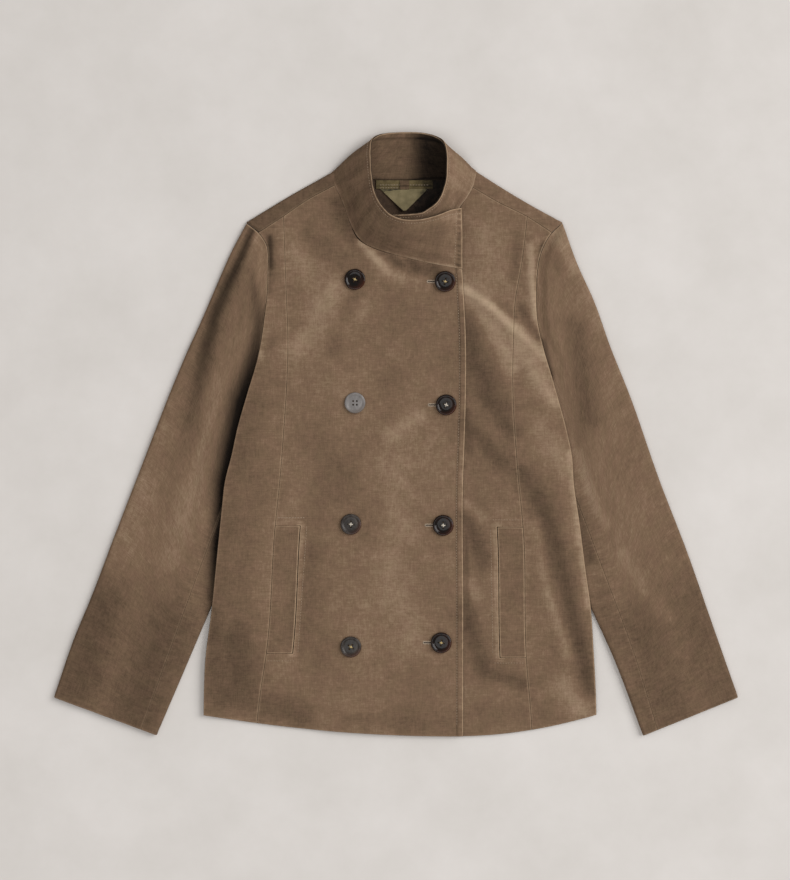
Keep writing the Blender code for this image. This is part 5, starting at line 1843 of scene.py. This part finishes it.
    def line(self, down: float | None = None, in_from_end: float | None = None) -> tuple[Array, Array]:
        """Points and normals of a stitching line on the outer face.

        Args:
            down: Distance below the top edge, for a line along it.
            in_from_end: Distance from the overlapping end, for a line up it.

        Returns:
            Points and outward normals.
        """
        outward = -normals(self.outer)
        if down is not None:
            heights = run_length(self.outer[:, 0])
            row = int(np.argmin(np.abs(heights[-1] - heights - down)))
            return self.outer[row], outward[row]
        run = run_length(self.outer[self.stitch_row])
        column = int(np.argmin(np.abs(run - in_from_end)))
        return self.outer[:, column], outward[:, column]


@dataclass
class NeckTrim:
    """Tape on the back neck seam, the tab across it and the folded blank label below it."""

    tape_finish: Material
    tab_finish: Material
    label_finish: Material
    base: float = 1.9
    cloth: float = 1.0
    gap: float = 0.3
    tape: Quad = (-24.0, 44.0, 294.5, 304.7)
    tab: Quad = (4.8, 15.6, 293.6, 304.4)
    label_top: Triple = (-19.0, 38.0, 294.3)
    label_tip: Pair = (10.3, 267.8)
    tip_half_width: float = 1.6
    tip_rise: float = 4.0
    fold: Quad = (-15.6, 290.6, 24.0, 296.4)
    fold_rise: float = 0.5
    fold_soft: float = 0.4
    tab_shade: float = 0.45
    tape_line: Triple = (0.5, 297.6, 0.7)
    # Shadow of the collar: how dark, and the places across where it begins and is whole
    tape_shadow: Triple = (1.0, 22.0, 44.0)
    label_shadow: Triple = (1.2, 22.0, 42.0)
    waves: Pair = (0.1, 14.0)
    step: float = 1.2

    def wall(self, name: str, points: Sequence[Array], tone: Array, roll: float, pucker: float) -> ClothWall:
        """Wall of one thickness below an upper face, given as grids of x, y and height."""
        outer = np.stack(points, axis=-1)
        return ClothWall(name, outer, outer - (0.0, 0.0, self.cloth), outer[..., :2], tone,
                         np.zeros(tone.shape), roll=roll, pucker=pucker, pile=Pile.BOTH)

    def strip(self, name: str, size: Sequence[float], base: float, shade: float = 0.0) -> ClothWall:
        """Flat strip over a plan rectangle.

        Args:
            name: Name of the piece.
            size: Lowest x, highest x, lowest y and highest y.
            base: Height of its lower face.
            shade: How much darker it is than its finish.

        Returns:
            The wall.
        """
        ends = size[:2], size[2:]
        x, y = np.meshgrid(*(low + (high - low) * spaced(high - low, self.step) for low, high in ends))
        level = base + self.cloth + self.waves[0] * soft_waves(x, y, self.waves[1], 21)
        dark, start, end = self.tape_shadow
        line, place, width = self.tape_line
        tone = -shade - dark * smoothstep(start, end, x) - line * bell(y - place, width)
        return self.wall(name, (x, y, level), tone, roll=0.5, pucker=0.05)

    def label(self) -> ClothWall:
        """Label folded to a point, its tip standing a little off the back.

        Returns:
            The wall.
        """
        left, right, top_y = self.label_top
        down = spaced(top_y - self.label_tip[1], self.step)[::-1, None]
        across = spaced(right - left, self.step)[None, :]
        tip_x = self.label_tip[0] + self.tip_half_width * (2 * across - 1)
        edge_x = left + (right - left) * across
        x = edge_x + (tip_x - edge_x) * down
        y = top_y + (self.label_tip[1] - top_y) * down + 0.0 * across
        fold_y = np.interp(x, self.fold[::2], self.fold[1::2])
        above = smoothstep(-self.fold_soft, self.fold_soft, y - fold_y)
        level = self.base + self.cloth + self.tip_rise * down ** 2 + self.fold_rise * (1 - above)
        dark, start, end = self.label_shadow
        tone = -above - dark * smoothstep(start, end, x)
        return self.wall("label", (x, y, level), tone, roll=0.4, pucker=0.0)

    def build(self) -> None:
        """Build the three pieces."""
        over_tape = self.base + self.cloth + self.gap
        self.strip("neck_tape", self.tape, self.base).lay([self.tape_finish], "tape", ["back"])
        tab = self.strip("hanger_tab", self.tab, over_tape, self.tab_shade)
        tab.lay([self.tab_finish], "velvet", ["neck_tape"])
        self.label().lay([self.label_finish], "label", ["back"])


@dataclass(frozen=True)
class ButtonPlace:
    """Where one button sits, and how it looks."""

    name: str
    x: float
    y: float
    turn: float
    tone: ButtonTone
    thread: ThreadStyle


class ThreadWork:
    """Short round-ended lengths of thread, joined into one mesh."""

    rings: int = 5
    sides: int = 6
    taper: float = 0.8

    def __init__(self, name: str) -> None:
        """Start a piece of this name with no thread."""
        self.name = name
        self.points: list[Array] = []

    def lay(self, middle: Array, along: Array, up: Array, length: float, radius: float,
            sink: float = 0.0) -> None:
        """Lay lengths of thread.

        Args:
            middle: Middle points.
            along: Directions of the lengths.
            up: Directions out of the cloth.
            length: Length of each.
            radius: Half the thickness.
            sink: How far the ends go down.
        """
        middle, along, up = (np.atleast_2d(np.asarray(value, float)) for value in (middle, along, up))
        along = unit(along)
        across = unit(np.cross(up, along))
        place = np.linspace(-1.0, 1.0, self.rings)[:, None]
        thick = radius * np.sqrt(np.maximum(1 - self.taper * place ** 4, 0.0))
        turn = np.linspace(0.0, 2 * math.pi, self.sides, endpoint=False)
        rise = thick * np.sin(turn) - sink * place ** 2
        shape = np.stack(np.broadcast_arrays(place * length / 2, thick * np.cos(turn), rise), axis=-1)
        axes = np.stack([along, across, np.cross(along, across)], axis=1)
        self.points.append(middle[:, None, None] + np.einsum("rsk,nkj->nrsj", shape, axes))

    def build(self, finish: Material, slot: str) -> None:
        """Join the lengths into one object.

        Args:
            finish: Thread material.
            slot: Name of a material slot; not used.
        """
        points = np.concatenate(self.points)
        count = self.rings * self.sides
        ends = [list(range(self.sides))[::-1], list(range(count - self.sides, count))]
        faces: list[list[int]] = []
        for low in range(0, count - self.sides, self.sides):
            high = low + self.sides
            for side in range(self.sides):
                after = (side + 1) % self.sides
                faces.append([low + side, low + after, high + after, high + side])
        starts = range(0, len(points) * count, count)
        every = [[corner + start for corner in face] for start in starts for face in faces + ends]
        mesh = bpy.data.meshes.new(self.name)
        mesh.from_pydata((points.reshape(-1, 3) * MM).tolist(), [], every)
        mesh.shade_smooth()
        finish_piece(place_object(self.name, mesh, [finish]))


class SurfaceProbe:
    """Finds the cloth straight below a place in plan."""

    above: float = 0.2

    def __init__(self, pieces: Sequence[Piece]) -> None:
        """Read the pieces' faces.

        Args:
            pieces: Cloth pieces.
        """
        points: list[Vector] = []
        faces: list[list[int]] = []
        for piece in pieces:
            start = len(points)
            points += [vertex.co.copy() for vertex in piece.data.vertices]
            faces += [[start + corner for corner in face.vertices] for face in piece.data.polygons]
        self.tree = BVHTree.FromPolygons(points, faces)

    def drop(self, x: Array, y: Array) -> tuple[Array, Array]:
        """Drop places of the plan on the cloth.

        Args:
            x, y: Places in plan.

        Returns:
            Points on the cloth and its normals, for those that meet it.
        """
        found, outward = [], []
        for at_x, at_y in np.broadcast(x, y):
            start = Vector((at_x * MM, at_y * MM, self.above))
            point, normal, _, _ = self.tree.ray_cast(start, Vector((0.0, 0.0, -1.0)))
            if point is not None:
                found.append(np.array(point) / MM)
                outward.append(np.array(normal))
        return np.array(found), np.array(outward)


@dataclass
class Stitching:
    """Topstitching along the front edge, the collar and the pockets, and the buttonholes."""

    probe: SurfaceProbe
    collar: StandCollar
    pitch: float = 3.3
    length: float = 2.5
    radius: float = 0.3
    proud: float = 0.12
    sink: float = 0.3
    edge_run: tuple[float, float, int] = (-350.0, 194.0, 300)
    hole_length: float = 29.0
    hole_start: float = -21.0
    hole_width: float = 2.1 / 1.6
    bar_pitch: float = 0.55
    bar_length: float = 1.7
    bar_radius: float = 0.3
    bar_slant: float = 0.12
    bar_proud: float = 0.2
    bar_sink: float = 0.35
    slit_step: int = 4
    slit_radius: float = 0.5
    fan_size: Pair = (0.6, 0.9)
    fan_bars: int = 7
    tape_level: float = 2.95
    tape_start: float = -22.0
    tape_points: int = 30
    tape_rows: Rows = ((299.0, 40.0), (295.6, 3.0))

    # Runs in plan from corner to corner: x, y. The first one is sewn in the paler thread.
    pocket_runs: tuple[Rows, ...] = (
        ((-143.6, -99.6), (-106.8, -99.6)), ((-106.8, -108.0), (-117.6, -262.0)),
        ((-156.0, -271.0), (-119.6, -271.0)),
        ((112.8, -102.1), (150.7, -102.1)), ((113.2, -112.0), (116.0, -265.0)),
        ((115.2, -273.6), (154.4, -273.6)),
    )

    def run(self, work: ThreadWork, points: Array, outward: Array | None = None) -> None:
        """Sew along a line.

        Args:
            work: Thread that gets the stitches.
            points: Points of the line, in plan or in space.
            outward: Directions out of the cloth, for a line in space.
        """
        along = run_length(points)
        at = np.arange(self.pitch, along[-1] - self.pitch / 2, self.pitch)
        middle = np.stack([np.interp(at, along, column) for column in points.T], axis=-1)
        if outward is None:
            middle, up = self.probe.drop(*middle.T)
        else:
            up = np.stack([np.interp(at, along, column) for column in outward.T], axis=-1)
        direction = np.gradient(middle, axis=0)
        work.lay(middle + self.proud * up, direction, up, self.length, self.radius, self.sink)

    def bars(self, work: ThreadWork, x: Array, y: Array | float, way: Sequence) -> None:
        """Lay the short bars of a buttonhole.

        Args:
            work: Thread that gets them.
            x, y: Places in plan.
            way: Direction of each bar or of all in plan.
        """
        middle, up = self.probe.drop(x, y)
        along = np.zeros((len(middle), 3))
        along[:, :2] = way
        work.lay(middle + self.bar_proud * up, along, up, self.bar_length, self.bar_radius, self.bar_sink)

    def buttonholes(self, work: ThreadWork, slit: ThreadWork, places: Sequence[ButtonPlace]) -> None:
        """Work a satin-stitched buttonhole beside each button of the front edge.

        Args:
            work: Thread that gets the stitches.
            slit: Dark thread that lines the slit, a painted shadow of its gap.
            places: Buttons at which a hole shows.
        """
        at = np.arange(0.0, self.hole_length, self.bar_pitch) + self.hole_start
        turn = np.linspace(-0.5 * math.pi, 0.5 * math.pi, self.fan_bars)
        fan = np.column_stack([-np.cos(turn), np.sin(turn)])
        for place in places:
            for row in (-1.0, 1.0):
                self.bars(work, place.x + at, place.y + row * self.hole_width, (self.bar_slant * row, 1.0))
            middle, up = self.probe.drop(place.x + at[1:-1:self.slit_step], place.y)
            along = np.tile((1.0, 0.0, 0.0), (len(middle), 1))
            slit.lay(middle, along, up, (self.slit_step + 1) * self.bar_pitch, self.slit_radius)
            spread = fan * self.fan_size + (place.x + self.hole_start, place.y)
            self.bars(work, *spread.T, fan)

    def build(self, sewn: Material, worked: Material, dark: Material) -> None:
        """Sew everything.

        Args:
            sewn: Thread of the topstitching.
            worked: Thread of the buttonholes.
            dark: Thread in the buttonholes' slits, near black as a painted shadow of the gap.
        """
        edge_work = ThreadWork("topstitching_front_edge")
        y = np.linspace(*self.edge_run)
        self.run(edge_work, np.column_stack([Plan.overlap_edge(y) - self.collar.surface.stitch_inset, y]))
        collar_work = ThreadWork("topstitching_collar")
        self.run(collar_work, *self.collar.line(down=self.collar.top_stitch))
        self.run(collar_work, *self.collar.line(in_from_end=self.collar.end_stitch))
        pocket_work = ThreadWork("topstitching_pockets")
        for corners in self.pocket_runs[1:]:
            self.run(pocket_work, straight_runs(corners))
        hole_work = ThreadWork("pale_stitches")
        self.run(hole_work, straight_runs(self.pocket_runs[0]))
        slit_shadow_work = ThreadWork("buttonhole_slit_shadows")
        beside = [place for place in Buttons.places if place.name.startswith("button_left")]
        self.buttonholes(hole_work, slit_shadow_work, beside)
        tape_work = ThreadWork("neck_tape_stitches")
        for row_y, last_x in self.tape_rows:
            line = np.full((self.tape_points, 3), (0.0, row_y, self.tape_level))
            line[:, 0] = np.linspace(self.tape_start, last_x, self.tape_points)
            self.run(tape_work, line, np.full(line.shape, (0.0, 0.0, 1.0)))
        for work in (edge_work, collar_work, pocket_work):
            work.build(sewn, "velvet")
        for work in (hole_work, tape_work):
            work.build(worked, "tape")
        slit_shadow_work.build(dark, "tape")


@dataclass
class Buttons:
    """Eight four-hole buttons, turned with a raised rim and a dished middle, and sewn on."""

    surface: BodySurface
    finishes: dict[ButtonTone, Material]
    threads: dict[ThreadStyle, Material]
    radius: float = 12.5
    sides: int = 72
    profile_points: int = 44
    drill_sides: int = 20
    hole_place: float = 3.1
    sharp_degrees: float = 38.0
    seat_gap: float = 0.3
    seat_points: int = 12
    slope_reach: float = 9.0
    thread_radius: float = 0.36
    thread_apart: float = 0.33
    thread_level: float = 2.5
    thread_rise: float = 0.35
    thread_sink: float = 1.1

    # How much shorter than the way between two holes each thread looks
    thread_short = {ThreadStyle.GOLD: 1.5, ThreadStyle.PALE: 0.5}
    # Turned profile from the middle of the underside to the middle of the dish: radius, height
    profile = ((0.0, 0.35), (5.0, 0.2), (9.0, 0.0), (10.9, 0.22), (12.1, 0.95), (12.5, 2.0), (12.25, 2.9),
               (11.6, 3.38), (10.9, 3.5), (10.1, 3.33), (9.3, 2.9), (8.5, 2.55), (7.4, 2.35), (4.0, 2.27),
               (0.0, 2.25))
    # Drill with flared ends: radius, height
    drill = ((0.0, -0.6), (1.5, -0.6), (1.0, 0.5), (1.0, 1.9), (1.2, 2.25), (1.8, 3.4), (0.0, 3.4))
    places = (
        ButtonPlace("button_right_1", -49.2, 185.4, 20, ButtonTone.DARK, ThreadStyle.GOLD),
        ButtonPlace("button_right_2", -49.2, 37.8, 0, ButtonTone.PALE, ThreadStyle.BARE),
        ButtonPlace("button_right_3", -54.0, -107.4, 40, ButtonTone.SMOKY, ThreadStyle.PALE),
        ButtonPlace("button_right_4", -54.0, -253.8, 10, ButtonTone.SMOKY, ThreadStyle.GOLD),
        ButtonPlace("button_left_1", 58.8, 183.0, 30, ButtonTone.DARK, ThreadStyle.GOLD),
        ButtonPlace("button_left_2", 60.0, 35.4, 25, ButtonTone.DARK, ThreadStyle.PALE),
        ButtonPlace("button_left_3", 56.4, -108.6, 45, ButtonTone.DARK, ThreadStyle.PALE),
        ButtonPlace("button_left_4", 54.0, -249.0, 35, ButtonTone.DARK, ThreadStyle.GOLD),
    )

    @staticmethod
    def turned(name: str, profile: Rows, sides: int) -> Piece:
        """Turn a profile about Z.

        Args:
            name: Name of the object.
            profile: Rows of radius and height, from axis to axis.
            sides: Sides of the turning.

        Returns:
            A closed object, linked to the scene.
        """
        mesh = bmesh.new()
        around = [2 * math.pi * side / sides for side in range(sides)]
        rings = []
        for radius, height in profile:
            turns = around if radius > 0 else around[:1]
            ring = [Vector((radius * math.cos(turn), radius * math.sin(turn), height)) for turn in turns]
            rings.append([mesh.verts.new(point * MM) for point in ring])
        for low, high in zip(rings, rings[1:]):
            for side in range(sides):
                ways = (low, side), (low, side + 1), (high, side + 1), (high, side)
                mesh.faces.new(list(dict.fromkeys(ring[at % sides % len(ring)] for ring, at in ways)))
        bmesh.ops.recalc_face_normals(mesh, faces=mesh.faces)
        data = bpy.data.meshes.new(name)
        mesh.to_mesh(data)
        mesh.free()
        return place_object(name, data)

    def pattern(self) -> bpy.types.Mesh:
        """Turn a button and drill its four holes.

        Returns:
            The mesh, with its underside on Z = 0.
        """
        rounded = curve_at(self.profile, np.linspace(0.0, 1.0, self.profile_points))
        rounded[[0, -1], 0] = 0.0
        body = self.turned("button_blank", tuple(map(tuple, rounded)), self.sides)
        drills = []
        for quarter in range(4):
            turn = math.pi / 4 + quarter * math.pi / 2
            drill = self.turned("button_drill", self.drill, self.drill_sides)
            drill.location = Vector((math.cos(turn), math.sin(turn), 0.0)) * self.hole_place * MM
            cut = body.modifiers.new(f"hole_{quarter}", "BOOLEAN")
            cut.operation = "DIFFERENCE"
            cut.object = drill
            drills.append(drill)
        graph = bpy.context.evaluated_depsgraph_get()
        data = bpy.data.meshes.new_from_object(body.evaluated_get(graph))
        for helper in [body, *drills]:
            bpy.data.objects.remove(helper, do_unlink=True)
        data.shade_smooth()
        data.set_sharp_from_angle(angle=math.radians(self.sharp_degrees))
        return data

    def seat(self, place: ButtonPlace) -> Matrix:
        """Find where a button sits on the overlapping front.

        Args:
            place: The button.

        Returns:
            Its matrix in metres.
        """
        reach = np.array([-self.slope_reach, self.slope_reach])
        heights = self.surface.over(place.x + reach, place.y), self.surface.over(place.x, place.y + reach)
        slope_x, slope_y = (float(np.diff(pair)[0]) / (2 * self.slope_reach) for pair in heights)
        around = np.linspace(0.0, 2 * math.pi, self.seat_points, endpoint=False)
        rim_x, rim_y = (np.append(self.radius * turned(around), 0.0) for turned in (np.cos, np.sin))
        ground = self.surface.over(place.x + rim_x, place.y + rim_y) + self.surface.cloth
        level = float(np.max(ground - slope_x * rim_x - slope_y * rim_y)) + self.seat_gap
        normal = Vector((-slope_x, -slope_y, 1.0)).normalized()
        tilt = Vector((0.0, 0.0, 1.0)).rotation_difference(normal).to_matrix().to_4x4()
        spin = Matrix.Rotation(math.radians(place.turn), 4, "Z")
        return Matrix.Translation(Vector((place.x, place.y, level)) * MM) @ tilt @ spin

    def sew(self, work: ThreadWork, place: ButtonPlace, seat: Matrix) -> None:
        """Sew a button on through its holes.

        Args:
            work: Thread that gets the stitches.
            place: The button.
            seat: Its matrix.
        """
        up = np.array(seat.to_3x3() @ Vector((0.0, 0.0, 1.0)))
        length = 2 * self.hole_place - self.thread_short[place.thread]
        for number, turn in enumerate((0.25, 0.75)):
            way = Vector((math.cos(math.pi * turn), math.sin(math.pi * turn), 0.0))
            level = Vector((0.0, 0.0, self.thread_level + self.thread_rise * number))
            for aside in (-self.thread_apart, self.thread_apart):
                local = Vector((-way.y, way.x, 0.0)) * aside + level
                middle = np.array(seat @ (local * MM)) / MM
                along = np.array(seat.to_3x3() @ way)
                work.lay(middle, along, up, length, self.thread_radius, self.thread_sink)

    def build(self) -> None:
        """Build the buttons and their thread."""
        pattern = self.pattern()
        works = {style: ThreadWork(f"button_thread_{style.value}") for style in self.threads}
        for place in self.places:
            data = pattern.copy()
            data.materials.clear()
            piece = place_object(f"{place.name}_horn", data, [self.finishes[place.tone]])
            piece.matrix_world = self.seat(place)
            finish_piece(piece, place.name)
            if place.thread in works:
                self.sew(works[place.thread], place, self.seat(place))
        bpy.data.meshes.remove(pattern)
        for style, work in works.items():
            work.build(self.threads[style], "tape")


@dataclass
class Studio:
    """Pale floor, one soft key light from the upper right, a soft surround and the camera above."""

    floor_size: float = 9.0
    floor_drop: float = 0.3
    aim: Triple = (-0.0012, -0.0066, 0.0)
    camera_height: float = 2.493
    lens: float = 85.0
    sensor: float = 36.0
    key_place: Triple = (4.9, 1.9, 4.5)
    key_size: float = 4.6
    key_watts: float = 364.0
    fill_place: Triple = (-0.4, -1.2, 3.2)
    fill_size: float = 2.4
    fill_watts: float = 34.0
    surround: float = 0.39
    surround_colour: Quad = (1.0, 0.985, 0.965, 1.0)

    def light(self, name: str, place: Triple, size: float, watts: float) -> None:
        """Hang one square soft light that looks at the jacket.

        Args:
            name: Name of the light.
            place: Its place in metres.
            size: Its side.
            watts: Its power.
        """
        data = bpy.data.lights.new(name, "AREA")
        data.size = size
        data.energy = watts
        lamp = place_object(name, data)
        lamp.location = place
        lamp.rotation_euler = (Vector(self.aim) - Vector(place)).to_track_quat("-Z", "Y").to_euler()

    def build(self, floor_finish: Material) -> None:
        """Set up the floor, the lights and the camera.

        Args:
            floor_finish: Material of the floor.
        """
        half = self.floor_size / 2
        corners = [(-half, -half, 0), (half, -half, 0), (half, half, 0), (-half, half, 0)]
        mesh = bpy.data.meshes.new("floor")
        mesh.from_pydata(corners, [], [(0, 1, 2, 3)])
        floor = place_object("floor", mesh, [floor_finish])
        floor.location.z = -self.floor_drop * MM
        self.light("key", self.key_place, self.key_size, self.key_watts)
        self.light("fill", self.fill_place, self.fill_size, self.fill_watts)
        world = bpy.data.worlds.new("surround")
        world.use_nodes = True
        feed(world.node_tree.nodes["Background"], {"Color": self.surround_colour, "Strength": self.surround})
        scene = bpy.context.scene
        scene.world = world
        scene.view_settings.view_transform = "Standard"
        data = bpy.data.cameras.new("camera")
        data.lens = self.lens
        data.sensor_width = self.sensor
        scene.camera = place_object("camera", data)
        scene.camera.location = Vector(self.aim) + Vector((0.0, 0.0, self.camera_height))


def main() -> None:
    """Build and dress the jacket, piece by piece."""
    logging.basicConfig(level=logging.INFO, format="%(message)s")
    velvet = Velvet().material()
    reverse = Woven("cotton, plain woven reverse", "3a2c22", "5a4737").material()
    tape = Woven("cotton twill tape", "4d4229", "776848", 1.3).material()
    satin = Woven("cotton satin label", "6a6042", "8f815f", 0.6, 0.3, 0.6).material()
    sewn = Thread("spun thread, taupe", "7c6752", "ae977d").material()
    worked = Thread("spun thread, fawn", "867460", "b3a18b").material()
    # Near-black thread for the painted shadow in the buttonhole slits
    dark = Thread("umber thread, painted slit shadow", "1d1611", "2d231b").material()
    threads = {
        ThreadStyle.GOLD: Thread("spun thread, straw", "8a6a2e", "d8c389").material(),
        ThreadStyle.PALE: Thread("spun thread, ecru", "9c9080", "e4dccd").material(),
    }
    horns = {
        ButtonTone.DARK: Horn("polished horn, near black", "0c0806", "26140d", "4b2515"),
        ButtonTone.SMOKY: Horn("polished horn, smoky", "2a2623", "4a443f", "4e2a1a", roughness=0.28),
        ButtonTone.PALE: Horn("polished horn, pale grey", "6f6b69", "8d8886", "57493f", roughness=0.35),
    }
    cloth = (velvet, reverse)
    Studio().build(Screed().material())
    surface = BodySurface()
    fronts = Fronts(surface, cloth).build()
    Back(surface, cloth).build()
    for side in Side:
        Sleeve(side, surface, cloth).build()
    collar = StandCollar(surface, (velvet,))
    collar.build()
    NeckTrim(tape, velvet, satin).build()
    Stitching(SurfaceProbe(fronts), collar).build(sewn, worked, dark)
    Buttons(surface, {tone: horn.material() for tone, horn in horns.items()}, threads).build()


if __name__ == "__main__":
    main()
